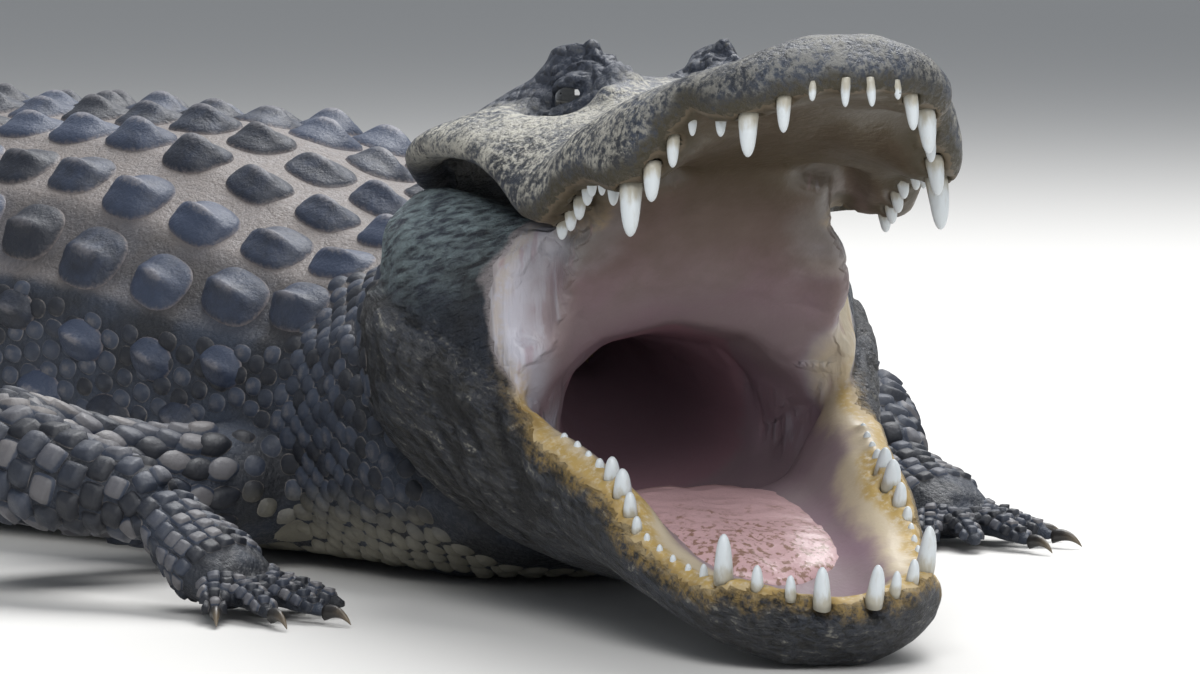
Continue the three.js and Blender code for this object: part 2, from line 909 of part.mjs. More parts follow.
// A hand or foot: a flat pad from the wrist with its toes spread round the far end.
function foot(limb, curve, side, heading) {
  const wrist = curve.getPoint(1);
  const { palm, toes, toeRadius } = limb;
  const direction = (degrees) => {
    const turn = -side * degrees * DEG;
    return new THREE.Vector3(Math.cos(turn), -Math.sin(turn), 0);
  };
  const forward = direction(heading);
  const knuckles = wrist.clone().addScaledVector(forward, palm.length).setZ(palm.height * 0.9);
  const back = wrist.clone().addScaledVector(curve.getTangent(1), GAP * 2);
  const padCurve = new THREE.CatmullRomCurve3([
    back,
    wrist.clone().lerp(knuckles, 0.5).setZ(lerp(wrist.z, knuckles.z, 0.6)),
    knuckles,
  ]);
  const wristRadius = limb.radii(1);
  const padRadius = through(
    [0, wristRadius],
    [0.55, palm.width * 0.95],
    [0.85, palm.width],
    [1, palm.width * 0.8],
  );
  let body = solid(tube(padCurve, 0, 1, padRadius, 8, 3, palm.height / palm.width + 0.16));
  for (const toe of toes) {
    const ray = direction(heading + toe.turn);
    const root = knuckles.clone().addScaledVector(direction(heading + toe.turn * 1.6), palm.width * 0.45);
    root.addScaledVector(forward, -palm.width * 0.45);
    const knuckle = root.clone().addScaledVector(ray, toe.length * 0.5).setZ(toeRadius * 1.5);
    const tip = root.clone().addScaledVector(ray, toe.length).setZ(toeRadius * 0.62);
    const toeCurve = new THREE.CatmullRomCurve3([root, knuckle, tip]);
    const taper = through([0, toeRadius * 1.15], [0.6, toeRadius], [1, toeRadius * 0.62]);
    body = body.add(solid(tube(toeCurve, 0, 1, taper, 5, 2)));
    if (toe.claw > 0) {
      const clawEnd = tip.clone().addScaledVector(ray, toe.claw).setZ(1.5);
      const start = tip.clone().addScaledVector(ray, -3);
      const middle = start.clone().lerp(clawEnd, 0.55).setZ(toeRadius * 0.62);
      const clawCurve = new THREE.CatmullRomCurve3([start, middle, clawEnd]);
      const point = through([0, toeRadius * 0.48], [1, 0]);
      body = body.add(solid(tube(clawCurve, 0, 1, point, 4, 1)));
    }
  }
  return mainPiece(body);
}

const LIMB_AROUND = 9;
for (const limb of Object.values(LIMBS)) {
  const bodies = limb.trunk.map((length) => grown(length));
  for (const [sideName, side] of [["right", -1], ["left", 1]]) {
    const joints = limb.joints[sideName].map(([x, y, z]) => new THREE.Vector3(x, side * y, z));
    const curve = new THREE.CatmullRomCurve3(joints);
    const [upper, lower, end] = limb.names.map((name) => name + "_" + sideName);
    const split = GAP / curve.getLength();
    const upperShape = tube(curve, 0, 0.5 - split / 2, limb.radii, LIMB_AROUND, 4);
    const lowerShape = tube(curve, 0.5 + split / 2, 1, limb.radii, LIMB_AROUND, 4);
    const footBody = foot(limb, curve, side, limb.headings[sideName]);
    addNode(upper, cutBy(solid(upperShape), ...bodies), HIDE);
    addNode(lower, cutBy(solid(lowerShape), grown(upperShape, 2 * GAP), solid(upperShape)), HIDE);
    addNode(end, cutBy(footBody, grown(lowerShape, 2 * GAP), underFloor), HIDE);
  }
}

export default alligator;
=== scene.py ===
"""A life-size American alligator at rest with its jaws wide open.

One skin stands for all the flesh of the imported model. Scales, scutes, teeth, claws, eyes and
tongue are pieces of their own over it. Lengths are in metres; the profiles of the head and the
body are in millimetres, as on a maker's drawing, and MM turns them into metres.
"""

import json
import logging
import math
from dataclasses import dataclass, field
from enum import Enum

import bmesh
import bpy
import numpy as np
import openvdb as vdb
from mathutils import Matrix, Vector
from mathutils.bvhtree import BVHTree
from mathutils.kdtree import KDTree

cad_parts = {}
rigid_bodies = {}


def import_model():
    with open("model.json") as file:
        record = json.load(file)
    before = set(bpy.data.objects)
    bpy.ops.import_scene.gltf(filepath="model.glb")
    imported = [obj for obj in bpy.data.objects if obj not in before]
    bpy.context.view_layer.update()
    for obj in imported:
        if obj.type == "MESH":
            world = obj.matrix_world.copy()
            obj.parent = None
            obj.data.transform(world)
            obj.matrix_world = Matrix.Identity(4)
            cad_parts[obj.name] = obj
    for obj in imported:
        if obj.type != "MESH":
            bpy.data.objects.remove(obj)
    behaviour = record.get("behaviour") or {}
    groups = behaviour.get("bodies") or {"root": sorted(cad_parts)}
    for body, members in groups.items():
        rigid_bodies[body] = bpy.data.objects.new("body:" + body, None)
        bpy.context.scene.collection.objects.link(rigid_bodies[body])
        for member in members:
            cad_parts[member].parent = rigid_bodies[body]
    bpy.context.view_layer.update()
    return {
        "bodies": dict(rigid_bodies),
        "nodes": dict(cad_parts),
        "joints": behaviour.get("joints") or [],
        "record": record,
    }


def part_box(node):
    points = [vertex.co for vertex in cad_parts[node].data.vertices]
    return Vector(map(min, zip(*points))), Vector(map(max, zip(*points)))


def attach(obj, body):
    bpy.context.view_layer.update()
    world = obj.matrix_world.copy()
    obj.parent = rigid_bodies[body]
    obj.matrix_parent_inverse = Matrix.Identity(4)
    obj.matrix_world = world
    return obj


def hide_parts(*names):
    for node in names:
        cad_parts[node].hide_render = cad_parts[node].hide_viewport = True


log = logging.getLogger("alligator")

MM = 0.001
ROOT = "root"
UP = (0.0, 0.0, 1.0)

Colour = tuple[float, float, float]
Place = tuple[float, float, float]


# Curves, frames and noise


class Profile:
    """A smooth curve through stations that never overshoots them."""

    def __init__(self, *stations: tuple[float, float]) -> None:
        """Takes the stations.

        Args:
            stations: pairs of a place and the value there, in rising order of place.
        """
        self.places = np.array([place for place, _ in stations], float)
        self.values = np.array([value for _, value in stations], float)
        slopes = np.diff(self.values) / np.diff(self.places)
        self.tangents = np.zeros(len(stations))
        before, after = slopes[:-1], slopes[1:]
        same_way = before * after > 0
        total = np.where(same_way, before + after, 1.0)
        self.tangents[1:-1] = np.where(same_way, 2 * before * after / total, 0.0)

    def __call__(self, place: np.ndarray | float) -> np.ndarray:
        """The curve's value at a place.

        Args:
            place: one place or an array of them.

        Returns:
            The value at each place.
        """
        x = np.clip(place, self.places[0], self.places[-1])
        i = np.clip(np.searchsorted(self.places, x, "right") - 1, 0, len(self.places) - 2)
        span = self.places[i + 1] - self.places[i]
        t = (x - self.places[i]) / span
        start = (2 * t**3 - 3 * t**2 + 1) * self.values[i]
        start = start + (t**3 - 2 * t**2 + t) * span * self.tangents[i]
        end = (3 * t**2 - 2 * t**3) * self.values[i + 1]
        return start + end + (t**3 - t**2) * span * self.tangents[i + 1]


def hill(offset: np.ndarray, width: float, sharpness: float = 2.0) -> np.ndarray:
    """A rounded bump.

    Args:
        offset: distance from the middle of the bump.
        width: distance at which the bump has sunk to a third.
        sharpness: 2 for a bell, more for a flat top with steeper sides.

    Returns:
        1 in the middle, falling to 0.
    """
    return np.exp(-(np.abs(offset / width) ** sharpness))


def ease(value: np.ndarray, low: float, high: float) -> np.ndarray:
    """A smooth step from 0 at low to 1 at high.

    Args:
        value: the numbers to step.
        low: where the step starts.
        high: where it ends, which may be below low for a falling step.

    Returns:
        The stepped numbers.
    """
    t = np.clip((value - low) / (high - low), 0, 1)
    return t * t * (3 - 2 * t)


def arcs_along(points: np.ndarray) -> np.ndarray:
    """The distance along a line to each of its points."""
    steps = np.linalg.norm(np.diff(points, axis=0), axis=1)
    return np.concatenate([[0], np.cumsum(steps)])


def bow(start: np.ndarray, bend: np.ndarray, end: np.ndarray, shares: np.ndarray) -> np.ndarray:
    """Points at shares of a bowed line between two points, drawn towards a third."""
    t = shares[:, None]
    return (1 - t) ** 2 * start + 2 * t * (1 - t) * bend + t**2 * end


@dataclass(frozen=True)
class Frame:
    """A turned frame: its origin, and its forward, left and upward directions as columns."""

    origin: np.ndarray
    axes: np.ndarray

    def local(self, points: np.ndarray) -> np.ndarray:
        """Places in this frame, in millimetres, of points in metres."""
        return (points - self.origin) @ self.axes / MM

    def world(self, places: np.ndarray) -> np.ndarray:
        """Points in metres of places in this frame, in millimetres."""
        return np.asarray(places, float) * MM @ self.axes.T + self.origin

    def turned(self, directions: np.ndarray) -> np.ndarray:
        """Directions in this frame of directions in the model's frame."""
        return directions @ self.axes


class Noise:
    """Smooth seeded noise in space."""

    SIDE = 32

    def __init__(self, seed: int) -> None:
        """Draws the table of the noise from a seed."""
        self.table = np.random.default_rng(seed).uniform(-1, 1, (self.SIDE,) * 3)

    def __call__(self, points: np.ndarray, size: float) -> np.ndarray:
        """The noise at points.

        Args:
            points: places in metres.
            size: length of one lump of the noise in metres.

        Returns:
            Numbers from -1 to 1.
        """
        scaled = points / size
        cell = np.floor(scaled).astype(int)
        t = scaled - cell
        t = t * t * (3 - 2 * t)
        total = np.zeros(len(points))
        for corner in np.ndindex(2, 2, 2):
            share = np.prod(np.where(corner, t, 1 - t), axis=1)
            i, j, k = ((cell + corner) % self.SIDE).T
            total += share * self.table[i, j, k]
        return total


# The pose and the outline of the animal, as its solids have them


class Head:
    """The frames of the head and the outlines of both jaws."""

    JOINT = np.array([606.0, -38.0, 184.0]) * MM
    YAW = math.radians(-23.2)
    PITCH = math.radians(16.4)
    GAPE = math.radians(36.2)
    EYE_PLACE = (131.0, 52.0, 75.0)
    EYE_RADIUS = 14.5

    upper_lip = Profile(
        (-44, 48), (0, 58), (60, 56), (112, 45), (135, 37), (160, 24), (180, 6), (198, -12),
        (216, -18), (230, -16), (243, -13), (262, -6), (280, -7), (300, -15), (320, -22),
        (342, -14), (362, 1), (378, 8), (396, -1), (413, -5), (440, 2), (455, 3),
    )
    lower_lip = Profile(
        (-62, -24), (0, -2), (60, 8), (130, 7), (200, 0), (250, 0), (278, 1), (296, -1),
        (315, -8), (340, -12), (365, -11), (385, -7), (402, 3), (420, 5), (436, 7), (451, 3),
    )
    jaw_swing = Profile((60, -10), (160, -9), (250, -4), (380, 0))
    cheek_half = Profile(
        (-66, 96), (-20, 132), (40, 140), (90, 129), (130, 115), (152, 107), (185, 98), (240, 74),
    )
    cheek_edge = Profile((-64, 206), (-36, 178), (-13, 152), (18, 153), (51, 178), (84, 214))
    cheek_swing = Profile((-20, -6), (60, -15))

    @classmethod
    def frame(cls, pitch: float) -> Frame:
        """The frame at the jaw joint tilted up by a pitch in radians."""
        turn = Matrix.Rotation(cls.YAW, 3, "Z") @ Matrix.Rotation(-pitch, 3, "Y")
        return Frame(cls.JOINT, np.array(turn))


SKULL = Head.frame(Head.PITCH)
JAW = Head.frame(Head.PITCH - Head.GAPE)
MIDWAY = Head.frame(Head.PITCH - Head.GAPE / 2)


class Spine:
    """The line of the body on the floor and the size of its section along it."""

    TAIL_TIP = -2170
    NECK_FRONT = 745
    STEP = 5

    heading = Profile(
        (-2170, -34), (-1750, 4), (-1300, 34), (-900, 26), (-480, 0), (395, 0), (560, -18),
        (625, -23.2),
    )
    half_width = Profile(
        (-2170, 4), (-2050, 13), (-1800, 25), (-1400, 42), (-1000, 68), (-700, 100),
        (-560, 122), (-460, 146), (-340, 176), (-180, 205), (-20, 216), (150, 207),
        (290, 184), (400, 166), (500, 158), (575, 152), (640, 132), (700, 100), (745, 64),
    )
    top = Profile(
        (-2170, 12), (-2050, 34), (-1800, 62), (-1400, 98), (-1000, 134), (-700, 168),
        (-560, 190), (-440, 218), (-300, 244), (-100, 266), (180, 266), (290, 250),
        (350, 229), (420, 211), (500, 207), (570, 216), (630, 214), (690, 150), (745, 92),
    )

    def __init__(self) -> None:
        """Steps along the line from the middle of the trunk both ways."""
        places = {0: (0.0, 0.0)}
        for way in (1, -1):
            x, y, u = 0.0, 0.0, 0
            while self.TAIL_TIP - self.STEP < u < self.NECK_FRONT + self.STEP:
                heading = math.radians(float(self.heading(u + way * self.STEP / 2)))
                x += way * self.STEP * math.cos(heading)
                y += way * self.STEP * math.sin(heading)
                u += way * self.STEP
                places[u] = (x, y)
        self.stations = np.array(sorted(places))
        self.line = np.array([places[u] for u in self.stations])

    def at(self, u: np.ndarray) -> tuple[np.ndarray, np.ndarray]:
        """The line at places along it.

        Args:
            u: places along the spine in millimetres.

        Returns:
            The points on the floor and the forward directions there, in metres.
        """
        x = np.interp(u, self.stations, self.line[:, 0])
        y = np.interp(u, self.stations, self.line[:, 1])
        turn = np.radians(self.heading(u))
        points = np.stack([x, y, np.zeros_like(x)], -1) * MM
        forward = np.stack([np.cos(turn), np.sin(turn), np.zeros_like(turn)], -1)
        return points, forward


# Meshes


class Surface:
    """A mesh as arrays of points and faces, with what smooths it and shifts it."""

    def __init__(self, points: np.ndarray, faces: np.ndarray) -> None:
        """Takes the points and the faces, all with the same number of corners."""
        self.points = np.asarray(points, float)
        self.faces = np.asarray(faces, np.int64)
        sides = np.concatenate(
            [self.faces[:, [i, i - 1]] for i in range(self.faces.shape[1])]
        )
        sides = np.unique(np.sort(sides, axis=1), axis=0)
        self.ends = np.concatenate([sides, sides[:, ::-1]])
        count = np.bincount(self.ends[:, 0], minlength=len(self.points))
        self.valence = np.maximum(count, 1)

    def mean(self, values: np.ndarray) -> np.ndarray:
        """The mean of each point's neighbours.

        Args:
            values: one number or one row of numbers for each point.

        Returns:
            The means in the same shape.
        """
        if values.ndim == 1:
            taken = values[self.ends[:, 1]]
            return np.bincount(self.ends[:, 0], taken, len(values)) / self.valence
        return np.stack([self.mean(column) for column in values.T], -1)

    def spread(self, values: np.ndarray, rounds: int) -> np.ndarray:
        """Values for each point, evened out in a number of rounds."""
        for _ in range(rounds):
            values = self.mean(values)
        return values

    def smooth(self, rounds: int, amount: np.ndarray | float, keep_size: bool = True) -> None:
        """Evens out the points.

        Args:
            rounds: number of passes.
            amount: share of the way towards the neighbours' mean, for all or for each point.
            keep_size: whether each pass is followed by one that undoes the shrinking.
        """
        share = np.asarray(amount, float)
        share = share[:, None] if share.ndim else share
        for _ in range(rounds):
            self.points += share * 0.6 * (self.mean(self.points) - self.points)
            if keep_size:
                self.points -= share * 0.61 * (self.mean(self.points) - self.points)

    def normals(self) -> np.ndarray:
        """The outward direction at each point."""
        p = self.points[self.faces]
        across = p[:, 2] - p[:, 0]
        along = p[:, -1] - p[:, 1] if p.shape[1] == 4 else p[:, 2] - p[:, 1]
        flat = np.cross(across, along)
        total = np.zeros_like(self.points)
        for corner in self.faces.T:
            for axis in range(3):
                total[:, axis] += np.bincount(corner, flat[:, axis], len(self.points))
        return total / np.maximum(np.linalg.norm(total, axis=1, keepdims=True), 1e-12)


def new_mesh(name: str, points: np.ndarray, faces: np.ndarray) -> bpy.types.Mesh:
    """A smooth-shaded mesh from arrays.

    Args:
        name: the mesh's name.
        points: its points in metres.
        faces: its faces, all with the same number of corners.

    Returns:
        The mesh.
    """
    mesh = bpy.data.meshes.new(name)
    corners = faces.shape[1]
    mesh.vertices.add(len(points))
    mesh.vertices.foreach_set("co", np.asarray(points, np.float32).ravel())
    mesh.loops.add(faces.size)
    mesh.loops.foreach_set("vertex_index", faces.astype(np.int32).ravel())
    mesh.polygons.add(len(faces))
    mesh.polygons.foreach_set("loop_start", np.arange(0, faces.size, corners, dtype=np.int32))
    mesh.polygons.foreach_set("use_smooth", np.ones(len(faces), bool))
    mesh.update(calc_edges=True)
    mesh.validate()
    return mesh


def read_mesh(mesh: bpy.types.Mesh) -> tuple[np.ndarray, np.ndarray]:
    """A mesh's points and its triangles.

    Args:
        mesh: the mesh to read.

    Returns:
        The points in metres and the triangles' corners.
    """
    points = np.zeros(len(mesh.vertices) * 3, np.float32)
    mesh.vertices.foreach_get("co", points)
    mesh.calc_loop_triangles()
    triangles = np.zeros(len(mesh.loop_triangles) * 3, np.int32)
    mesh.loop_triangles.foreach_get("vertices", triangles)
    return points.reshape(-1, 3).astype(float), triangles.reshape(-1, 3)


def evaluated(source: bpy.types.Object) -> bpy.types.Mesh:
    """A plain mesh of an object with its modifiers applied."""
    graph = bpy.context.evaluated_depsgraph_get()
    return bpy.data.meshes.new_from_object(source.evaluated_get(graph))


def finder(points: np.ndarray, chosen: np.ndarray) -> KDTree:
    """A tree that finds the nearest of the chosen ones among some points."""
    tree = KDTree(len(chosen))
    for i in chosen:
        tree.insert(Vector(points[i]), i)
    tree.balance()
    return tree


def add_object(name: str, mesh: bpy.types.Mesh) -> bpy.types.Object:
    """A new object of a mesh, in the scene."""
    made = bpy.data.objects.new(name, mesh)
    bpy.context.scene.collection.objects.link(made)
    return made


def put_attribute(mesh: bpy.types.Mesh, name: str, values: np.ndarray) -> None:
    """Stores one number or one vector for each point of a mesh.

    Args:
        mesh: the mesh.
        name: the attribute's name.
        values: the numbers, or rows of three.
    """
    vector = values.ndim == 2
    kind = "FLOAT_VECTOR" if vector else "FLOAT"
    made = mesh.attributes.new(name, kind, "POINT")
    made.data.foreach_set("vector" if vector else "value", values.astype(np.float32).ravel())


def solid(name: str, points: np.ndarray, faces: list, **marks: np.ndarray) -> bpy.types.Object:
    """A piece made of closed shells, each turned so that its faces point outwards.

    Args:
        name: the piece's name.
        points: its points in metres.
        faces: its triangles' corners.
        marks: values for each point, by the mark's name.

    Returns:
        The piece.
    """
    mesh = new_mesh(name, points, np.array(faces))
    for mark, values in marks.items():
        put_attribute(mesh, mark, values)
    work = bmesh.new()
    work.from_mesh(mesh)
    bmesh.ops.recalc_face_normals(work, faces=work.faces)
    work.to_mesh(mesh)
    work.free()
    return add_object(name, mesh)


def turns(count: int) -> np.ndarray:
    """The angles of points evenly spaced round a ring."""
    return np.arange(count) / count * 2 * np.pi


# The skin


@dataclass
class Volume:
    """Signed distances to a body on a grid of points: negative inside it."""

    low: np.ndarray
    high: np.ndarray
    step: float
    values: np.ndarray = field(init=False)

    BAND = 3.0

    def __post_init__(self) -> None:
        """Fills the grid with the distance that means far outside."""
        shape = np.ceil((self.high - self.low) / self.step).astype(int) + 1
        self.values = np.full(shape, self.BAND * self.step, np.float32)

    def join(self, points: np.ndarray, triangles: np.ndarray) -> None:
        """Adds a closed body.

        Args:
            points: its points in metres.
            triangles: its triangles' corners.
        """
        transform = vdb.createLinearTransform(voxelSize=self.step)
        grid = vdb.FloatGrid.createLevelSetFromPolygons(
            (points - self.low).astype(np.float32),
            triangles=triangles.astype(np.uint32),
            transform=transform,
            halfWidth=self.BAND,
        )
        first, last = (np.array(corner) for corner in grid.evalActiveVoxelBoundingBox())
        first = np.maximum(first, 0)
        last = np.minimum(last, np.array(self.values.shape) - 1)
        window = np.empty(last - first + 1, np.float32)
        grid.copyToArray(window, ijk=tuple(int(i) for i in first))
        place = tuple(slice(a, b + 1) for a, b in zip(first, last))
        self.values[place] = np.minimum(self.values[place], window)

    def blur(self, rounds: int) -> None:
        """Evens out the distances, which closes thin cuts and rounds edges."""
        for _ in range(rounds):
            for axis in range(3):
                v = np.moveaxis(self.values, axis, 0)
                v[1:-1] = 0.5 * v[1:-1] + 0.25 * (v[:-2] + v[2:])

    def window(self, low: np.ndarray, high: np.ndarray) -> tuple[tuple, np.ndarray]:
        """A part of the grid.

        Args:
            low: lowest corner in metres.
            high: highest corner in metres.

        Returns:
            The slices of the part, and the places of its points as rows.
        """
        first = np.maximum(np.floor((low - self.low) / self.step).astype(int), 0)
        last = np.ceil((high - self.low) / self.step).astype(int) + 1
        last = np.minimum(last, self.values.shape)
        place = tuple(slice(a, b) for a, b in zip(first, last))
        axes = [np.arange(a, b) * self.step + o for a, b, o in zip(first, last, self.low)]
        points = np.stack(np.meshgrid(*axes, indexing="ij"), -1)
        return place, points

    def surface(self) -> Surface:
        """The body's surface, in squares of one step."""
        grid = vdb.FloatGrid(self.BAND * self.step)
        grid.copyFromArray(self.values)
        grid.transform = vdb.createLinearTransform(voxelSize=self.step)
        points, quads = grid.convertToQuads()
        made = Surface(points + self.low, quads)
        p = made.points[made.faces]
        flat = np.cross(p[:, 2] - p[:, 0], p[:, 3] - p[:, 1])
        if np.sum(flat * p.mean(1)) < 0:
            made = Surface(points + self.low, quads[:, ::-1])
        return made


@dataclass(frozen=True)
class Tooth:
    """One tooth: its place on the jaw, its width at the gum and its length, in millimetres."""

    x: float
    y: float
    width: float
    length: float

    ROOT = 5.0
    LEAN_OUT = 0.10
    LEAN_BACK = 0.06

    def axis(self, height: np.ndarray, gum: float, side: int, way: int) -> np.ndarray:
        """Points on the middle line of the tooth.

        Args:
            height: heights over the gum.
            gum: the gum's height in the jaw's frame.
            side: -1 on the right and 1 on the left.
            way: 1 for a tooth that points up and -1 for one that points down.

        Returns:
            Places in the jaw's frame.
        """
        height = np.asarray(height, float)
        x = self.x - self.LEAN_BACK * height
        y = side * (self.y + self.LEAN_OUT * height)
        return np.stack([x, y, gum + way * height], -1)


@dataclass
class TeethRow:
    """The teeth of one jaw, which stand in sockets of the skin."""

    name: str
    frame: Frame
    way: int
    lip: Profile
    gum_offset: float
    swing: Profile
    teeth: tuple[Tooth, ...]
    around: int = 14
    rings: int = 9
    room: float = 0.2

    def places(self) -> list[tuple[Tooth, float, int]]:
        """Each tooth with its gum's height and its side."""
        return [
            (tooth, float(self.lip(tooth.x)) + self.gum_offset, side)
            for side in (-1, 1)
            for tooth in self.teeth
        ]

    def axis(self, tooth: Tooth, height: np.ndarray, gum: float, side: int) -> np.ndarray:
        """Points on a tooth's middle line at heights over the gum, in the jaw's frame."""
        return tooth.axis(height, gum, side, self.way) + [0, float(self.swing(tooth.x)), 0]

    def carve(self, volume: Volume) -> None:
        """Swells the gum round each tooth and cuts the tooth's socket into the skin.

        Args:
            volume: the flesh to carve.
        """
        for tooth, gum, side in self.places():
            ends = np.array([-Tooth.ROOT, tooth.length + 4])
            root, tip = self.frame.world(self.axis(tooth, ends, gum, side))
            collar = self.frame.world(self.axis(tooth, np.array(2.5), gum, side))
            reach = (tooth.width / 2 + 6) * MM
            low = np.minimum(root, tip) - reach
            high = np.maximum(root, tip) + reach
            place, points = volume.window(low, high)
            ball = np.linalg.norm(points - collar, axis=-1) - (tooth.width * 0.5 + 2.6) * MM
            flesh = np.minimum(volume.values[place], ball)
            line = tip - root
            t = np.clip((points - root) @ line / (line @ line), 0, 1)
            away = np.linalg.norm(points - root - t[..., None] * line, axis=-1)
            radius = (tooth.width * 0.5 * (1 - t) ** 0.5 + self.room) * MM
            volume.values[place] = np.maximum(flesh, radius - away)

    def build(self) -> bpy.types.Object:
        """The row of teeth as one piece.

        Returns:
            The joined teeth, each a fluted cone that curves back a little.
        """
        turn = turns(self.around)
        points, faces, rise = [], [], []
        for tooth, gum, side in self.places():
            t = np.sin(np.linspace(0, np.pi / 2, self.rings))
            height = -Tooth.ROOT + 0.8 + t * (tooth.length + Tooth.ROOT - 0.8)
            above = np.clip(height / tooth.length, 0, 1)
            radius = tooth.width * 0.5 * np.sqrt(1 - above**5) * (1 - 0.34 * above)
            radius[-1] = 0.02 * tooth.width
            centre = self.axis(tooth, height, gum, side)
            centre[:, 0] -= 0.09 * tooth.length * above**2
            centre[:, 1] -= side * 0.05 * tooth.length * above**2
            flute = 1 + 0.018 * np.cos(5 * turn)
            ring = np.stack([np.cos(turn) * flute, np.sin(turn) * flute * 0.92], -1)
            body = np.repeat(centre, self.around, 0)
            body[:, :2] += np.tile(ring, (self.rings, 1)) * np.repeat(radius, self.around)[:, None]
            start = sum(len(p) for p in points)
            points.append(np.concatenate([body, centre[:1], centre[-1:]]))
            rise.append(np.concatenate([np.repeat(above, self.around), [0.0, 1.0]]))
            faces += tube_faces(start, self.around, self.rings, self.way * -1)
        place = self.frame.world(np.concatenate(points))
        return solid(self.name, place, faces, rise=np.concatenate(rise))


def tube_faces(start: int, around: int, rings: int, way: int) -> list[list[int]]:
    """The triangles of a tube of rings whose two ends close on two further points.

    Args:
        start: index of the first ring's first point.
        around: number of points in a ring.
        rings: number of rings.
        way: 1 or -1, which side of the triangles faces out.

    Returns:
        The corners of each triangle.
    """
    made = []
    first, last = start + rings * around, start + rings * around + 1
    for i in range(around):
        j = (i + 1) % around
        made.append([first, start + j, start + i])
        made.append([last, start + (rings - 1) * around + i, start + (rings - 1) * around + j])
        for ring in range(rings - 1):
            a = start + ring * around
            b = a + around
            made.append([a + i, a + j, b + j])
            made.append([a + i, b + j, b + i])
    return [face[::way] for face in made]


UPPER_TEETH = TeethRow(
    "teeth_upper", SKULL, -1, Head.upper_lip, 3.0, Profile((0, 0), (100, 0)),
    tuple(Tooth(*sizes) for sizes in (
        (449, 7, 6, 11), (444, 24, 5, 6), (431, 36, 9, 17), (413, 50.5, 12, 21),
        (396, 60, 7, 10), (370, 67, 6, 10), (354, 74, 8, 13), (338, 82, 11, 17),
        (320, 89, 14, 26), (303, 93, 8, 11), (287, 94, 6, 9), (272, 95, 7, 9),
        (257, 93, 8, 10), (243, 94, 8, 9), (229, 95, 8, 9), (215, 96, 8, 9),
    )),
)
LOWER_TEETH = TeethRow(
    "teeth_lower", JAW, 1, Head.lower_lip, -1.0, Head.jaw_swing,
    tuple(Tooth(*sizes) for sizes in (
        (441, 15, 11, 19), (432, 30, 7, 10), (419, 44.5, 8, 12), (402, 58, 12, 24),
        (386, 63, 6, 9), (372, 67, 5, 6), (358, 71, 5, 6), (344, 74, 5, 6), (331, 77, 5, 6),
        (319, 79, 7, 8), (306, 79, 9, 12), (292, 79, 12, 15), (277, 80, 11, 14),
        (262, 82, 7, 7), (249, 84, 6, 6), (236, 86, 6, 6), (223, 89, 6, 5),
    )),
)


@dataclass
class Eyes:
    """The eyeballs, and the lids that the skin closes over them."""

    lid: float = 3.4
    slit_half_height: float = 4.8
    slit_half_length: float = 23.0
    slit_back: float = 8.0
    around: int = 40
    rings: int = 28

    LOOK = (0.42, 0.86, 0.18)

    def centre(self, side: int) -> np.ndarray:
        """Middle of one eyeball in metres."""
        x, y, z = Head.EYE_PLACE
        return SKULL.world(np.array([x, side * y, z]))

    def gaze(self, side: int) -> np.ndarray:
        """Direction in which one eye looks, in the skull's frame."""
        look = np.array(self.LOOK) * (1, side, 1)
        return look / np.linalg.norm(look)

    def carve(self, volume: Volume) -> None:
        """Lays lids over both eyeballs and opens a slit between them.

        Args:
            volume: the flesh to shape.
        """
        reach = (Head.EYE_RADIUS + 12) * MM
        for side in (-1, 1):
            centre = self.centre(side)
            place, points = volume.window(centre - reach, centre + reach)
            away = np.linalg.norm(points - centre, axis=-1)
            ball = (Head.EYE_RADIUS + 0.4) * MM
            lids = away - ball - self.lid * MM
            flesh = np.minimum(volume.values[place], lids)
            local = SKULL.local(points.reshape(-1, 3)) - SKULL.local(centre[None])[0]
            gaze = self.gaze(side)
            aside = np.cross(UP, gaze)
            aside /= np.linalg.norm(aside)
            along = (local @ aside + self.slit_back) / self.slit_half_length
            height = (local @ np.cross(gaze, aside) + 1.0) / self.slit_half_height
            out = (local @ gaze - Head.EYE_RADIUS) / 14.0
            almond = np.sqrt(along**2 + height**2 + out**2) - 1
            almond = almond.reshape(away.shape) * self.slit_half_height * MM
            volume.values[place] = np.maximum(flesh, -almond)

    def build(self, side: int) -> bpy.types.Object:
        """One eyeball, with the iris and the upright pupil marked on it.

        Args:
            side: -1 for the right eye and 1 for the left.

        Returns:
            The eyeball.
        """
        name = "eye_ball_left" if side > 0 else "eye_ball_right"
        gaze = self.gaze(side)
        up = np.array(UP) - gaze[2] * gaze
        up /= np.linalg.norm(up)
        aside = np.cross(up, gaze)
        polar = np.linspace(0, np.pi, self.rings)
        turn = turns(self.around)
        points = []
        for angle in polar:
            out = 1.0 + 0.05 * math.exp(-((angle / 0.55) ** 2))
            ring = np.outer(np.cos(turn), aside) + np.outer(np.sin(turn), up)
            points.append(out * (math.cos(angle) * gaze + math.sin(angle) * ring))
        body = np.concatenate(points + [points[0][:1], points[-1][:1]])
        faces = tube_faces(0, self.around, self.rings, 1)
        centre = np.array(Head.EYE_PLACE) * (1, side, 1)
        place = SKULL.world(body * Head.EYE_RADIUS + centre)
        iris = np.arccos(np.clip(body @ gaze, -1, 1))
        return solid(name, place, faces, iris=iris, pupil_across=body @ aside, pupil_along=body @ up)


class Region(Enum):
    """What part of the flesh a point of the skin belongs to."""

    BODY = 0
    HEAD = 1
    JAW = 2
    CHEEKS = 3
    NECK = 4


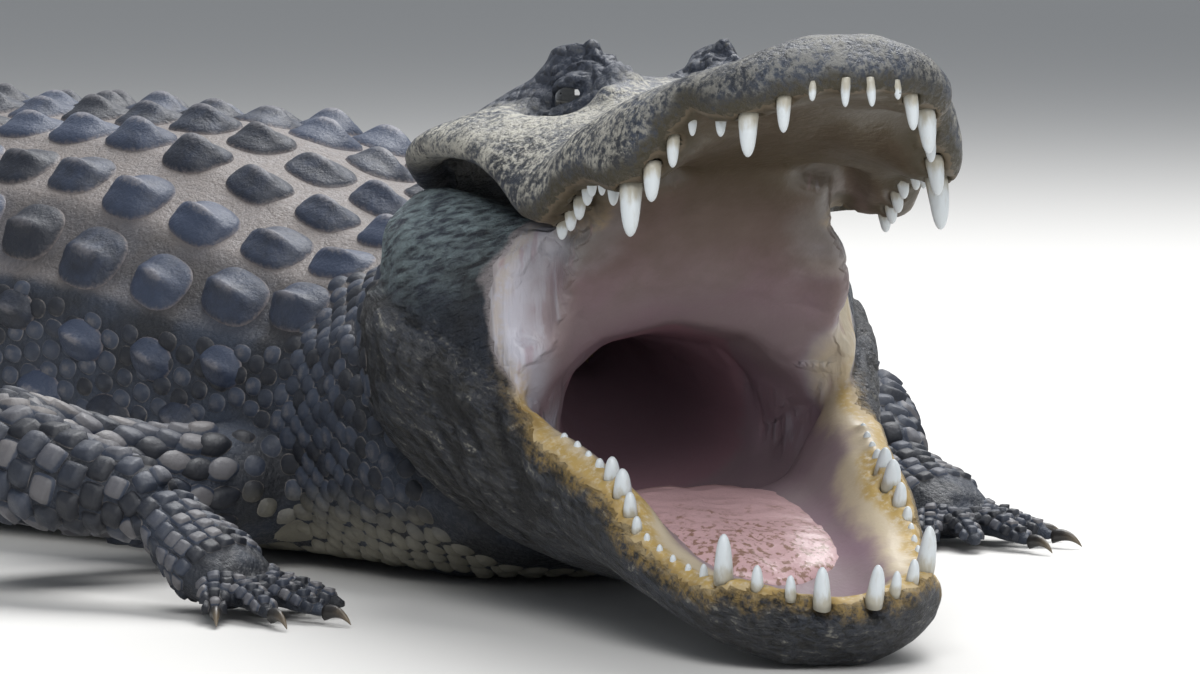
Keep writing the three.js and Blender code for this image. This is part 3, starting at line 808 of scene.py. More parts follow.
class Flesh:
    """The solids that the skin replaces."""

    NOT_FLESH = ("eye_right", "eye_left", "tongue")
    PAW_ROOM = 0.01
    HEAD_LOW = 0.44
    HEAD_SIDE = (-0.04, 0.24)
    TOUCH = 0.014
    HEAD_NODES = {
        "head": Region.HEAD,
        "jaw": Region.JAW,
        "cheeks": Region.CHEEKS,
        "neck": Region.NECK,
    }

    def __init__(self, frame: dict) -> None:
        """Reads the solids of a loaded frame."""
        self.names = [name for name in frame["nodes"] if name not in self.NOT_FLESH]
        self.meshes = {name: read_mesh(frame["nodes"][name].data) for name in self.names}
        points, triangles, regions = [], [], []
        for name, region in self.HEAD_NODES.items():
            p, t = self.meshes[name]
            triangles.append(t + sum(len(one) for one in points))
            points.append(p)
            regions.append(np.full(len(t), region.value))
        self.regions = np.concatenate(regions)
        corners = np.concatenate(triangles).tolist()
        self.tree = BVHTree.FromPolygons(np.concatenate(points).tolist(), corners)

    def labels(self, points: np.ndarray) -> np.ndarray:
        """The number of the region of each point of the skin."""
        region = np.full(len(points), Region.BODY.value)
        middle, half = self.HEAD_SIDE
        near = (points[:, 0] > self.HEAD_LOW) & (np.abs(points[:, 1] - middle) < half)
        for i in np.nonzero(near)[0]:
            _, _, index, away = self.tree.find_nearest(Vector(points[i]))
            if away < self.TOUCH:
                region[i] = self.regions[index]
        return region

    def paws(self) -> list[tuple[np.ndarray, np.ndarray]]:
        """The lowest and highest corners of a loose box round each hand and foot, in metres."""
        boxes = [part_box(name) for name in self.names if name.startswith(("hand", "foot"))]
        return [(np.array(low) - self.PAW_ROOM, np.array(high) + self.PAW_ROOM) for low, high in boxes]

    def volume(self, step: float) -> Volume:
        """All the flesh as one body on a grid.

        Args:
            step: distance between the grid's points in metres.

        Returns:
            The body, with the cuts between the solids closed.
        """
        everything = np.concatenate([points for points, _ in self.meshes.values()])
        margin = 4 * step
        made = Volume(everything.min(0) - margin, everything.max(0) + margin, step)
        for points, triangles in self.meshes.values():
            made.join(points, triangles)
        return made


@dataclass
class Skin:
    """The skin of the whole animal: its hide and the lining of its mouth."""

    flesh: Flesh
    step: float = 0.003
    faces_kept: int = 224_000
    flesh_blur: int = 4
    body_rounds: int = 40
    paw_share: float = 0.06
    scute_depth: float = 6.0
    scale_depth: float = 1.6
    groove_depth: float = 2.6
    surface: Surface = field(init=False)
    sunk: np.ndarray = field(init=False)
    grooves: np.ndarray = field(init=False)

    BROW_TOP = 111.0
    MOUTH_LOW = 0.55
    OUTER_SIDE = 120.0
    FOLD_SIDE = 40.0
    FOLD_REACH = 0.03
    LOOKOUTS = (
        (60, 0, -60), (110, 0, -50), (150, 0, -40), (200, 0, -20), (245, 0, 0), (290, 0, 0),
    )
    FOLDS = (
        (Region.NECK, Region.JAW, 14.0, 9.0),
        (Region.NECK, Region.HEAD, 10.0, 10.0),
        (Region.NECK, Region.CHEEKS, 14.0, 10.0),
        (Region.HEAD, Region.CHEEKS, 12.0, 9.0),
    )
    KNOBS = (
        (118, 40, 32, 15, 1.6), (141, 28, 10, 9, 2.0), (98, 50, 11, 8, 2.0),
        (161, 37, 12, 10, 5.0), (186, 34, 12, 8, 2.5), (84, 38, 10, 9, 2.5),
        (205, 46, 14, 8, 2.5), (235, 24, 12, 7, 2.0), (330, 40, 22, 10, 2.0),
        (60, 66, 14, 8, 2.0), (30, 60, 14, 10, 2.5), (5, 44, 12, 10, 2.0),
    )

    def depth(self, points: np.ndarray, normals: np.ndarray, region: np.ndarray) -> np.ndarray:
        """How far the skin lies inside the solids, in millimetres.

        Args:
            points: places on the solids.
            normals: outward directions there.
            region: number of the region of each point.

        Returns:
            The depth at each point.
        """
        body = np.isin(region, (Region.BODY.value, Region.NECK.value)).astype(float)
        back = ease(normals[:, 2], 0.1, 0.7) * ease(points[:, 2], 0.05, 0.12)
        off_floor = ease(points[:, 2], 0.004, 0.03)
        trunk = ease(points[:, 0], 0.52, 0.42) * ease(np.abs(points[:, 1]), 0.3, 0.24)
        trunk = np.where(points[:, 0] < -0.52, 1.0, trunk)
        return body * off_floor * (self.scale_depth + back * trunk * self.scute_depth)

    def build(self, teeth: tuple[TeethRow, ...], eyes: Eyes) -> None:
        """Makes the skin's surface.

        Args:
            teeth: the rows of teeth that stand in it.
            eyes: the eyes that it closes over.
        """
        volume = self.flesh.volume(self.step)
        volume.blur(1)
        sharp = volume.values.copy()
        volume.blur(self.flesh_blur - 1)
        for low, high in self.flesh.paws():
            place, points = volume.window(low, high)
            share = ease(np.minimum(points - low, high - points).min(-1), 0.0, 0.02)
            volume.values[place] += share.astype(np.float32) * (sharp[place] - volume.values[place])
        for row in teeth:
            row.carve(volume)
        eyes.carve(volume)
        volume.blur(1)
        made = volume.surface()
        region = self.flesh.labels(made.points)
        share = (region == Region.BODY.value).astype(float)
        for low, high in self.flesh.paws():
            share[np.all((made.points > low) & (made.points < high), axis=1)] = self.paw_share
        made.smooth(self.body_rounds, made.spread(share, 5))
        made.smooth(2, 1.0)
        normals = made.normals()
        depth = made.spread(self.depth(made.points, normals, region), 6)
        made.points -= normals * depth[:, None] * MM
        made.points[:, 2] = np.maximum(made.points[:, 2], 0.0)
        self.surface = made
        self.crease(region)
        self.sculpt(region)
        made.points[:, 2] = np.maximum(made.points[:, 2], 0.0)

    def crease(self, region: np.ndarray) -> None:
        """Sinks the skin along the folds between the regions of its points."""
        made = self.surface
        normals = made.normals()
        side = np.abs(MIDWAY.local(made.points)[:, 1])
        facing = np.einsum("ij,ij->i", made.points - MIDWAY.origin, normals)
        outer = (facing > 0) | (side > self.OUTER_SIDE)
        ends = made.ends
        self.sunk = np.zeros(len(made.points))
        for first, second, depth, width in self.FOLDS:
            across = (region[ends[:, 0]] == first.value) & (region[ends[:, 1]] == second.value)
            border = np.unique(ends[across & outer[ends[:, 0]], 0])
            border = border[side[border] > self.FOLD_SIDE]
            if not len(border):
                continue
            tree = finder(made.points, border)
            sink = np.zeros(len(made.points))
            low = made.points[border].min(0) - self.FOLD_REACH
            high = made.points[border].max(0) + self.FOLD_REACH
            near = np.all((made.points > low) & (made.points < high), axis=1) & outer
            for i in np.nonzero(near)[0]:
                away = tree.find(Vector(made.points[i]))[2] / MM
                sink[i] = depth * math.exp(-((away / width) ** 2))
            sink = made.spread(sink, 3)
            made.points -= normals * sink[:, None] * MM
            self.sunk = np.maximum(self.sunk, sink / depth)

    def fold_marks(self, points: np.ndarray) -> np.ndarray:
        """How deep in a fold each of some points of the skin lies, from 0 to 1."""
        deep = np.maximum(self.sunk, self.grooves * 0.8)
        chosen = np.nonzero(self.surface.points[:, 0] > Flesh.HEAD_LOW)[0]
        tree = finder(self.surface.points, chosen)
        made = np.zeros(len(points))
        low = self.surface.points[chosen].min(0) - 0.01
        for i in np.nonzero(np.all(points > low, axis=1))[0]:
            _, index, away = tree.find(Vector(points[i]))
            if away < 0.006:
                made[i] = deep[index]
        return made

    def sculpt(self, region: np.ndarray) -> None:
        """Raises brows, lids and lumps, by the regions of the points, and cuts the wrinkles."""
        made = self.surface
        normals = made.normals()
        place = SKULL.local(made.points)
        x, y, z = place[:, 0], np.abs(place[:, 1]), place[:, 2]
        head = made.spread((region == Region.HEAD.value).astype(float), 3)
        rise = np.zeros(len(x))
        for knob_x, knob_y, long, wide, height in self.KNOBS:
            rise += height * hill(x - knob_x, long) * hill(y - knob_y, wide)
        rise *= head * ease(SKULL.turned(normals)[:, 2], -0.1, 0.5) * ease(z, 10, 40)
        eye_x, eye_y, eye_z = Head.EYE_PLACE
        away = np.sqrt(((x - eye_x) / 1.25) ** 2 + (y - eye_y) ** 2 + (z - eye_z) ** 2)
        roll = np.cos((away - 15.5) / 7.0 * 2 * np.pi) * ease(away, 13, 17) * ease(away, 42, 22)
        below = ease(eye_z - z, 0, 9)
        lower_lid = 4.5 * hill(away - 20.5, 4.5) * below - 3.0 * hill(away - 28, 4) * below
        tall = np.maximum(z - self.BROW_TOP, 0) * hill(x - eye_x, 80) * 0.5
        plate = Noise(31)(np.stack([x, 2.2 * y, 1.4 * z], -1), 13.0) - 0.5
        plate = 5.0 * plate * ease(z, 80, 90) * hill(x - 145, 52, 4.0) * ease(away, 20, 28)
        knob = np.sqrt((x - 178) ** 2 + (y - 49) ** 2 + (z - 66) ** 2)
        rise += (1.3 * roll * (1 - below) + lower_lid + 6.5 * hill(knob, 9)) * head
        rise += (plate - tall) * head
        noise = Noise(11)
        lumps = noise(made.points, 0.016) * 1.0 + noise(made.points, 0.007) * 0.55
        outside = ease(np.abs(x - 100) - 420, 0, -40) * np.isin(region, (1, 2)).astype(float)
        lined = ease(MIDWAY.turned(normals)[:, 2] * np.sign(z + 30), -0.3, 0.3)
        rise += lumps * outside * 0.8 * lined
        self.grooves = self.wrinkles(region, normals)
        rise -= self.groove_depth * self.grooves
        made.points += normals * rise[:, None] * MM

    def wrinkles(self, region: np.ndarray, normals: np.ndarray) -> np.ndarray:
        """The long slanting wrinkles of the jowl and the level ones of the cheek.

        Args:
            region: number of the region of each point of the skin.
            normals: the outward directions there.

        Returns:
            1 at the bottom of a wrinkle and 0 between them.
        """
        made, noise = self.surface, Noise(23)
        place = JAW.local(made.points) * MM
        tilt = math.radians(34)
        along = place[:, 0] * math.cos(tilt) - place[:, 2] * math.sin(tilt)
        across = place[:, 0] * math.sin(tilt) + place[:, 2] * math.cos(tilt)
        warp = noise(made.points, 0.045) * 0.010
        slanted = np.stack([along * 0.22, place[:, 1] * 0.5, across + warp], -1)
        level = SKULL.local(made.points) * MM
        level = np.stack([level[:, 0] * 0.25, level[:, 1] * 0.5, level[:, 2] + warp], -1)
        jowl = hill(noise(slanted, 0.0105), 0.17) + 0.7 * hill(noise(slanted + 7, 0.0065), 0.14)
        cheek = hill(noise(level, 0.012), 0.16)
        outer = ease(np.abs(MIDWAY.turned(normals)[:, 1]), 0.15, 0.5)
        side = ease(np.abs(MIDWAY.local(made.points)[:, 1]), 84, 100)
        fade = 0.35 + 0.65 * ease(JAW.local(made.points)[:, 0], 330, 200)
        on_jaw = (region == Region.JAW.value) * side * fade
        total = on_jaw * np.minimum(jowl, 1.0) + (region == Region.CHEEKS.value) * cheek * 0.6
        total = total * outer
        return made.mean(total) * 0.5 + total * 0.5

    def thinned(self) -> bpy.types.Mesh:
        """The surface as a mesh with fewer triangles, smallest where the form is fine."""
        mesh = new_mesh("skin_source", self.surface.points, self.surface.faces)
        source = add_object("skin_source", mesh)
        thin = source.modifiers.new("thin", "DECIMATE")
        thin.ratio = min(1.0, self.faces_kept / (2 * len(self.surface.faces)))
        made = evaluated(source)
        bpy.data.objects.remove(source)
        return made

    def seen_from_mouth(self, whole: Surface, region: np.ndarray) -> np.ndarray:
        """Finds the points that line the mouth.

        Args:
            whole: the thinned skin.
            region: number of the region of each of its points.

        Returns:
            1 for each point that a lookout in the gape sees, and 0 for the others.
        """
        normals = whole.normals()
        tree = BVHTree.FromPolygons(whole.points.tolist(), whole.faces.tolist())
        x, y, z = MIDWAY.local(whole.points).T
        across = np.abs(y - Head.cheek_swing(z))
        inside = (across < Head.cheek_half(x) - 3) | (x > 190)
        seen = np.zeros(len(whole.points))
        on_head = np.isin(region, (Region.HEAD.value, Region.JAW.value, Region.CHEEKS.value))
        start = whole.points + normals * 1.2 * MM
        for lookout in MIDWAY.world(np.array(self.LOOKOUTS)):
            line = lookout - start
            away = np.linalg.norm(line, axis=1)
            facing = np.einsum("ij,ij->i", line, normals) > 0.03 * away
            for i in np.nonzero(facing & (seen == 0) & on_head)[0]:
                hit = tree.ray_cast(Vector(start[i]), Vector(line[i]), away[i])
                seen[i] = 1 if hit[0] is None else 0
        fold = (x > np.minimum(Head.cheek_edge(z) - 14, 146)) & (z > -38)
        fold = fold & (region == Region.CHEEKS.value)
        return np.where(fold, 1.0, seen * inside)

    def pieces(self) -> list[bpy.types.Object]:
        """Parts the skin into its two pieces, which share the line of the lips.

        Returns:
            The hide and the lining of the mouth.
        """
        whole = Surface(*read_mesh(self.thinned()))
        region = self.flesh.labels(whole.points)
        lining = whole.spread(self.seen_from_mouth(whole, region), 6)
        inner = lining[whole.faces].mean(1) > 0.5
        marks = self.marks(whole, region, lining)
        made = []
        for name, chosen in (("skin", ~inner), ("mouth_lining", inner)):
            used, index = np.unique(whole.faces[chosen], return_inverse=True)
            mesh = new_mesh(name, whole.points[used], index.reshape(-1, 3))
            for mark, values in marks.items():
                put_attribute(mesh, mark, values[used])
            made.append(add_object(name, mesh))
        return made

    @staticmethod
    def orbit(place: np.ndarray) -> np.ndarray:
        """How near the eye places in the skull's frame are: 1 on the lids, 0 away from them."""
        eye_x, eye_y, eye_z = Head.EYE_PLACE
        x, y, z = place[:, 0], np.abs(place[:, 1]), place[:, 2]
        away = np.sqrt(((x - eye_x) / 1.5) ** 2 + (y - eye_y) ** 2 + (z - eye_z + 2) ** 2)
        return ease(away, 38, 25)

    @staticmethod
    def throat(place: np.ndarray) -> np.ndarray:
        """1 in the throat with its peaked upper edge, where the lining's finish paints shade, for
        places in the midway frame.
        """
        x, y, z = place.T
        start = 84 + 50 * hill(y + 4, 50) * ease(z, -70, -14)
        return ease(x, start + 4, start - 4) * ease(np.abs(y + 4), 70, 58)

    def marks(
        self, whole: Surface, region: np.ndarray, lining: np.ndarray
    ) -> dict[str, np.ndarray]:
        """What the finishes need to know about each point of the skin.

        Args:
            whole: the thinned skin.
            region: number of the region of each point.
            lining: how much each point lines the mouth.

        Returns:
            The values of each mark by its name.
        """
        points = whole.points
        tree = finder(points, np.nonzero(np.abs(lining - 0.5) < 0.2)[0])
        lip = np.full(len(points), 100.0)
        for i in np.nonzero(points[:, 0] > self.MOUTH_LOW)[0]:
            lip[i] = tree.find(Vector(points[i]))[2] / MM
        midway, skull, jaw = MIDWAY.local(points), SKULL.local(points), JAW.local(points)
        marks = {
            "lining": lining,
            "lip": np.where(lining > 0.5, lip, -lip),
            # Where the lining's finish paints the throat's shade, and how deep into the mouth it lies.
            "throat": self.throat(midway) * (lining > 0.1),
            "deep": ease(midway[:, 0], 130, 20),
            "orbit": self.orbit(skull),
            # Depth in a fold, which the hide's finish paints as shade.
            "fold": self.fold_marks(points),
            "skull_place": skull / 100.0,
            "jaw_place": jaw / 100.0,
            "upward": whole.normals()[:, 2],
        }
        for name, part in (("skull", Region.HEAD), ("jaw", Region.JAW), ("cheek", Region.CHEEKS)):
            marks[name] = whole.spread((region == part.value).astype(float), 5)
        return marks


# Finishes


class Number:
    """A number that varies over a surface, kept as a shader socket."""

    def __init__(self, shade: "Shade", socket: bpy.types.NodeSocket) -> None:
        """Wraps a socket of a shade."""
        self.shade = shade
        self.socket = socket

    def __add__(self, other: "Number | float") -> "Number":
        """This plus other."""
        return self.shade.math("ADD", self, other)

    def __radd__(self, other: float) -> "Number":
        """Other plus this."""
        return self.shade.math("ADD", other, self)

    def __sub__(self, other: "Number | float") -> "Number":
        """This minus other."""
        return self.shade.math("SUBTRACT", self, other)

    def __rsub__(self, other: float) -> "Number":
        """Other minus this."""
        return self.shade.math("SUBTRACT", other, self)

    def __mul__(self, other: "Number | float") -> "Number":
        """This times other."""
        return self.shade.math("MULTIPLY", self, other)

    def __rmul__(self, other: float) -> "Number":
        """Other times this."""
        return self.shade.math("MULTIPLY", other, self)

    def above(self, low: float, high: float) -> "Number":
        """A smooth step from 0 at low to 1 at high, or falling where high is the lower."""
        rising = low < high
        made = self.shade.node(
            "ShaderNodeMapRange",
            {"interpolation_type": "SMOOTHSTEP", "clamp": True},
            {"Value": self, "From Min": min(low, high), "From Max": max(low, high),
             "To Min": 0.0 if rising else 1.0, "To Max": 1.0 if rising else 0.0},
        )
        return Number(self.shade, made.outputs["Result"])


def set_input(tree: bpy.types.NodeTree, socket: bpy.types.NodeSocket, value: object) -> None:
    """Links or sets one input of a node.

    Args:
        tree: the node's tree.
        socket: the input.
        value: a Number, a socket, a colour or a plain value.
    """
    if isinstance(value, Number):
        value = value.socket
    if isinstance(value, bpy.types.NodeSocket):
        tree.links.new(value, socket)
    elif isinstance(value, tuple) and socket.type == "RGBA":
        socket.default_value = (*value, 1.0)
    else:
        socket.default_value = value


def add_node(tree: bpy.types.NodeTree, kind: str, settings: dict, inputs: dict) -> bpy.types.Node:
    """Adds a node to a tree.

    Args:
        tree: the tree.
        kind: the node's type.
        settings: its properties, set first.
        inputs: values or links of its sockets, by name or number.

    Returns:
        The node.
    """
    made = tree.nodes.new(kind)
    for name, value in settings.items():
        setattr(made, name, value)
    for name, value in inputs.items():
        set_input(tree, made.inputs[name], value)
    return made


class Shade:
    """One material under construction."""

    def __init__(self, name: str) -> None:
        """Starts a material with a surface shader."""
        self.material = bpy.data.materials.new(name)
        self.material.use_nodes = True
        self.tree = self.material.node_tree
        self.tree.nodes.clear()
        self.output = self.tree.nodes.new("ShaderNodeOutputMaterial")
        self.surface = self.tree.nodes.new("ShaderNodeBsdfPrincipled")
        self.tree.links.new(self.surface.outputs[0], self.output.inputs["Surface"])
        self.place = self.node("ShaderNodeTexCoord", {}, {}).outputs["Object"]
        self.colour: object = None

    def node(self, kind: str, settings: dict, inputs: dict) -> bpy.types.Node:
        """A new node with its properties and its inputs set."""
        return add_node(self.tree, kind, settings, inputs)

    def math(self, operation: str, first: Number | float, second: Number | float) -> Number:
        """Works out a number from two others."""
        made = self.node("ShaderNodeMath", {"operation": operation}, {0: first, 1: second})
        return Number(self, made.outputs[0])

    def mark(self, name: str) -> Number:
        """A number that the mesh carries."""
        made = self.node("ShaderNodeAttribute", {"attribute_name": name}, {})
        return Number(self, made.outputs["Fac"])

    def marked_place(self, name: str) -> bpy.types.NodeSocket:
        """A vector that the mesh carries."""
        return self.node("ShaderNodeAttribute", {"attribute_name": name}, {}).outputs["Vector"]

    def axis(self, vector: bpy.types.NodeSocket, number: int) -> Number:
        """One of a vector's three numbers: 0 for X, 1 for Y and 2 for Z."""
        return Number(self, self.node("ShaderNodeSeparateXYZ", {}, {0: vector}).outputs[number])

    def stretched(self, vector: bpy.types.NodeSocket, by: Colour) -> bpy.types.NodeSocket:
        """A vector with each of its axes multiplied by a number."""
        made = self.node("ShaderNodeMapping", {"vector_type": "POINT"}, {"Vector": vector})
        made.inputs["Scale"].default_value = by
        return made.outputs[0]

    def noise(
        self, size: float, detail: float = 4.0, rough: float = 0.55,
        at: bpy.types.NodeSocket | None = None, bend: float = 0.0,
    ) -> Number:
        """Cloudy noise.

        Args:
            size: length of its largest lumps, in the vector's own unit.
            detail: number of finer layers.
            rough: strength of the finer layers.
            at: vector it is read at, or the model's frame.
            bend: how much it is twisted.

        Returns:
            A number round 0.5.
        """
        made = self.node(
            "ShaderNodeTexNoise", {},
            {"Vector": at or self.place, "Scale": 1.0 / size, "Detail": detail,
             "Roughness": rough, "Distortion": bend},
        )
        return Number(self, made.outputs["Fac"])

    def pebbles(self, size: float) -> Number:
        """The distance to the middle of the nearest pebble, as a share of their size."""
        inputs = {"Vector": self.place, "Scale": 1.0 / size}
        made = self.node("ShaderNodeTexVoronoi", {"feature": "F1"}, inputs)
        return Number(self, made.outputs["Distance"])

    def mix(self, share: Number | float, first: object, second: object) -> bpy.types.NodeSocket:
        """A colour between two.

        Args:
            share: 0 for the first and 1 for the second.
            first: a colour or its socket.
            second: a colour or its socket.

        Returns:
            The mixed colour.
        """
        settings = {"data_type": "RGBA", "clamp_factor": True}
        return self.node("ShaderNodeMix", settings, {0: share, 6: first, 7: second}).outputs[2]

    def tint(self, share: Number | float, colour: object) -> None:
        """Lays a colour over the surface's own, where share is 1."""
        self.colour = self.mix(share, self.colour, colour)

    def bump(self, height: Number, strength: float, distance: float) -> None:
        """Adds relief to the surface, over any that it has.

        Args:
            height: the relief from 0 to 1.
            strength: share of its effect.
            distance: its depth in metres.
        """
        before = self.surface.inputs["Normal"].links
        inputs = {"Height": height, "Strength": strength, "Distance": distance}
        if before:
            inputs["Normal"] = before[0].from_socket
        made = self.node("ShaderNodeBump", {}, inputs)
        set_input(self.tree, self.surface.inputs["Normal"], made.outputs["Normal"])

    def finish(self, roughness: Number | float, coat: float = 0.0) -> bpy.types.Material:
        """Sets the surface's colour, its roughness and the share of a clear wet coat."""
        values = {"Base Color": self.colour, "Roughness": roughness, "Coat Weight": coat}
        for name, value in values.items():
            set_input(self.tree, self.surface.inputs[name], value)
        return self.material


@dataclass(frozen=True)
class RimFinish:
    """The line where hide and lining meet: ochre below, grey-pink behind and olive above."""

    ochre: Colour = (0.30, 0.20, 0.065)
    sand: Colour = (0.42, 0.32, 0.17)
    flesh: Colour = (0.30, 0.27, 0.275)
    olive: Colour = (0.105, 0.080, 0.050)

    def over(self, shade: Shade, low: float, high: float, lumps: Number) -> None:
        """Lays the line's colour over a material's.

        Args:
            shade: the material.
            low: value of the lining's mark at which the line's colour starts.
            high: value at which it is full.
            lumps: noise that makes the line uneven.
        """
        below = shade.mix(lumps.above(0.40, 0.60), self.ochre, self.sand)
        behind = shade.mix(shade.mark("cheek"), below, self.flesh)
        above = shade.mix(shade.mark("skull"), behind, self.olive)
        shade.tint((shade.mark("lining") + (lumps - 0.5) * 0.3).above(low, high), above)


class HideShade(Shade):
    """The hide's material under construction, with the marks and noises its layers share."""

    WRINKLE_TILT = math.radians(-34)

    def __init__(self) -> None:
        """Reads the marks and makes the noises."""
        super().__init__("hide")
        self.skull, self.jaw, self.cheek = self.mark("skull"), self.mark("jaw"), self.mark("cheek")
        self.lip, self.upward, self.orbit = self.mark("lip"), self.mark("upward"), self.mark("orbit")
        self.lumps = self.noise(0.016, 6.0, 0.62)
        self.fine = self.noise(0.0042, 5.0, 0.70)
        self.pits = self.noise(0.0026, 3.0, 0.6)
        jaw_place, skull_place = self.marked_place("jaw_place"), self.marked_place("skull_place")
        slanted = self.node(
            "ShaderNodeMapping", {"vector_type": "POINT"},
            {"Vector": jaw_place, "Rotation": (0.0, self.WRINKLE_TILT, 0.0),
             "Scale": (0.35, 1.2, 2.6)},
        ).outputs[0]
        self.wrinkle = self.noise(0.11, 6.0, 0.62, slanted, 0.35)
        level = self.stretched(skull_place, (0.6, 0.8, 2.8))
        self.folds = self.noise(0.10, 5.0, 0.6, level, 0.3)
        self.along_jaw = self.axis(jaw_place, 0)
        self.ahead, self.tall = self.axis(skull_place, 0), self.axis(skull_place, 2)
        self.worn = (self.lumps * 0.32 + self.fine * 0.68).above(0.44, 0.58)
        self.brow = self.skull * self.tall.above(0.80, 0.90)
        self.brow = self.brow * self.ahead.above(0.3, 0.7) * self.ahead.above(2.3, 1.9)
        self.near_lip = self.skull * (self.lip + (self.lumps - 0.5) * 16.0).above(-12.0, -3.0)


@dataclass(frozen=True)
class HideFinish:
    """Dark hide: rough and dusty on the skull, with a painted highlight where it faces up, wrinkled on
    the jowl, bluish on the body.
    """

    # Near black, used as painted shade in the grooves of the jowl and in the folds.
    black: Colour = (0.005, 0.005, 0.006)
    dark: Colour = (0.011, 0.013, 0.018)
    blue: Colour = (0.026, 0.035, 0.055)
    # Pale skin between the back's scutes, laid on upward faces only, so it is also a painted sky
    # sheen.
    cream: Colour = (0.205, 0.18, 0.168)
    # Pale dust, laid on upward faces and ridge tops, so partly a painted highlight.
    dust_and_sheen: Colour = (0.37, 0.355, 0.305)
    # Painted highlight on the ridges of the jowl's wrinkles.
    ridge_highlight: Colour = (0.046, 0.049, 0.060)
    ochre: Colour = (0.36, 0.24, 0.075)
    pale: Colour = (0.25, 0.32, 0.335)
    gum: Colour = (0.040, 0.033, 0.017)
    slate: Colour = (0.026, 0.033, 0.052)

    def material(self) -> bpy.types.Material:
        """The finish as a material."""
        shade = HideShade()
        for layer in (self.body, self.jowl, self.cheeks, self.skull, self.lips, self.fold_shade_and_slate):
            layer(shade)
        ridged = shade.pebbles(0.0075).above(0.8, 0.1) * (shade.brow + shade.orbit * 0.6)
        shade.bump(ridged, 0.8, 0.0035)
        shade.bump(shade.wrinkle * shade.jaw, 1.0, 0.0160)
        shade.bump(shade.folds * shade.cheek, 0.9, 0.0110)
        shade.bump(shade.lumps * 0.6 + shade.fine * 0.5 + shade.pits * 0.35, 0.75, 0.0042)
        return shade.finish(0.40 + shade.worn * 0.28)

    def body(self, shade: HideShade) -> None:
        """Bluish hide; creamy where it faces up between the scutes of the back: pale skin, with a
        painted sky sheen on the upward faces.
        """
        broad = shade.noise(0.050, 3.0)
        shade.colour = shade.mix(broad.above(0.35, 0.65), self.dark, self.blue)
        off_head = 1 - (shade.skull + shade.jaw + shade.cheek)
        high = shade.axis(shade.place, 2).above(0.13, 0.19)
        # Pale skin with a painted sky sheen: the upward faces of the back, high off the floor, turn
        # cream.
        back = shade.upward.above(0.35, 0.85) * off_head * (0.5 + shade.fine * 0.6) * high
        shade.tint(back, self.cream)

    def jowl(self, shade: HideShade) -> None:
        """Violet ridges as a painted highlight, black painted shade in the grooves between them, and
        streaks of dust with a painted sheen on the ridge tops.
        """
        # Painted highlight on the wrinkles' ridges, and painted shade, black, in their grooves.
        shade.tint(shade.jaw * shade.wrinkle.above(0.40, 0.62) * 0.8, self.ridge_highlight)
        shade.tint(shade.jaw * shade.wrinkle.above(0.50, 0.42) * 0.9, self.black)
        # Dust on the ridge tops, partly a painted sheen.
        streak = shade.jaw * shade.wrinkle.above(0.56, 0.66) * shade.fine.above(0.46, 0.60)
        shade.tint(streak * 0.8, self.dust_and_sheen)

    def cheeks(self, shade: HideShade) -> None:
        """Pale level folds on the upper part of the cheek."""
        upper = (shade.tall + shade.lumps * 0.3).above(-0.35, 0.35)
        pale = shade.cheek * shade.folds.above(0.34, 0.62) * upper
        shade.tint(pale * 0.9, self.pale)

    def skull(self, shade: HideShade) -> None:
        """Dust on the snout and below the eye, not on lids, brow and lip, partly a painted highlight
        where the skull faces up; dark pits.
        """
        ahead, tall, skull = shade.ahead, shade.tall, shade.skull
        side = ahead.above(4.2, 2.8) * 0.6 + 0.4
        uneven_lip = shade.lip + (shade.lumps - 0.5) * 16.0
        corner = skull * ahead.above(2.3, 1.6) * uneven_lip.above(-36.0, -14.0)
        clear = (1 - shade.orbit * 0.85) * (1 - shade.brow * 0.85)
        clear = clear * (1 - shade.near_lip * 0.8) * (1 - corner * 0.7)
        # Dust with a painted highlight: paler where the skull faces up.
        dusty = skull * shade.upward.above(-0.95, 0.10) * side + shade.jaw * 0.10
        shade.tint(shade.worn * dusty * clear, self.dust_and_sheen)
        below = skull * ahead.above(0.1, 0.6) * ahead.above(2.9, 2.2) * tall.above(0.36, 0.52)
        below = below * tall.above(0.70, 0.60) * (1 - shade.orbit) * shade.fine.above(0.30, 0.55)
        shade.tint(below * 0.75, self.dust_and_sheen)
        pitted = shade.pits.above(0.44, 0.34) * (skull + shade.jaw * 0.6)
        shade.tint(pitted * 0.8, self.dark)

    def lips(self, shade: HideShade) -> None:
        """An ochre band along the lower lip, the line to the lining, and a dark upper lip."""
        band = (shade.lip + (shade.lumps - 0.5) * 22.0).above(-11.0, -2.0)
        band = band * shade.along_jaw.above(1.2, 2.4) * (shade.jaw + shade.cheek)
        shade.tint(band * shade.fine.above(0.35, 0.60) * 0.9, self.ochre)
        RimFinish().over(shade, 0.20, 0.46, shade.lumps)
        shade.tint(shade.near_lip * shade.fine.above(0.25, 0.55), self.gum)

    def fold_shade_and_slate(self, shade: HideShade) -> None:
        """Black painted shade in the folds, and slate on the brow and the lids."""
        # Painted shade: black where the skin sinks into a fold.
        shade.tint(shade.mark("fold").above(0.25, 0.80) * 0.85, self.black)
        bare = shade.fine.above(0.70, 0.52)
        shade.tint(shade.brow * bare * 0.9, self.slate)
        shade.tint(shade.orbit * bare * 0.7, self.slate)


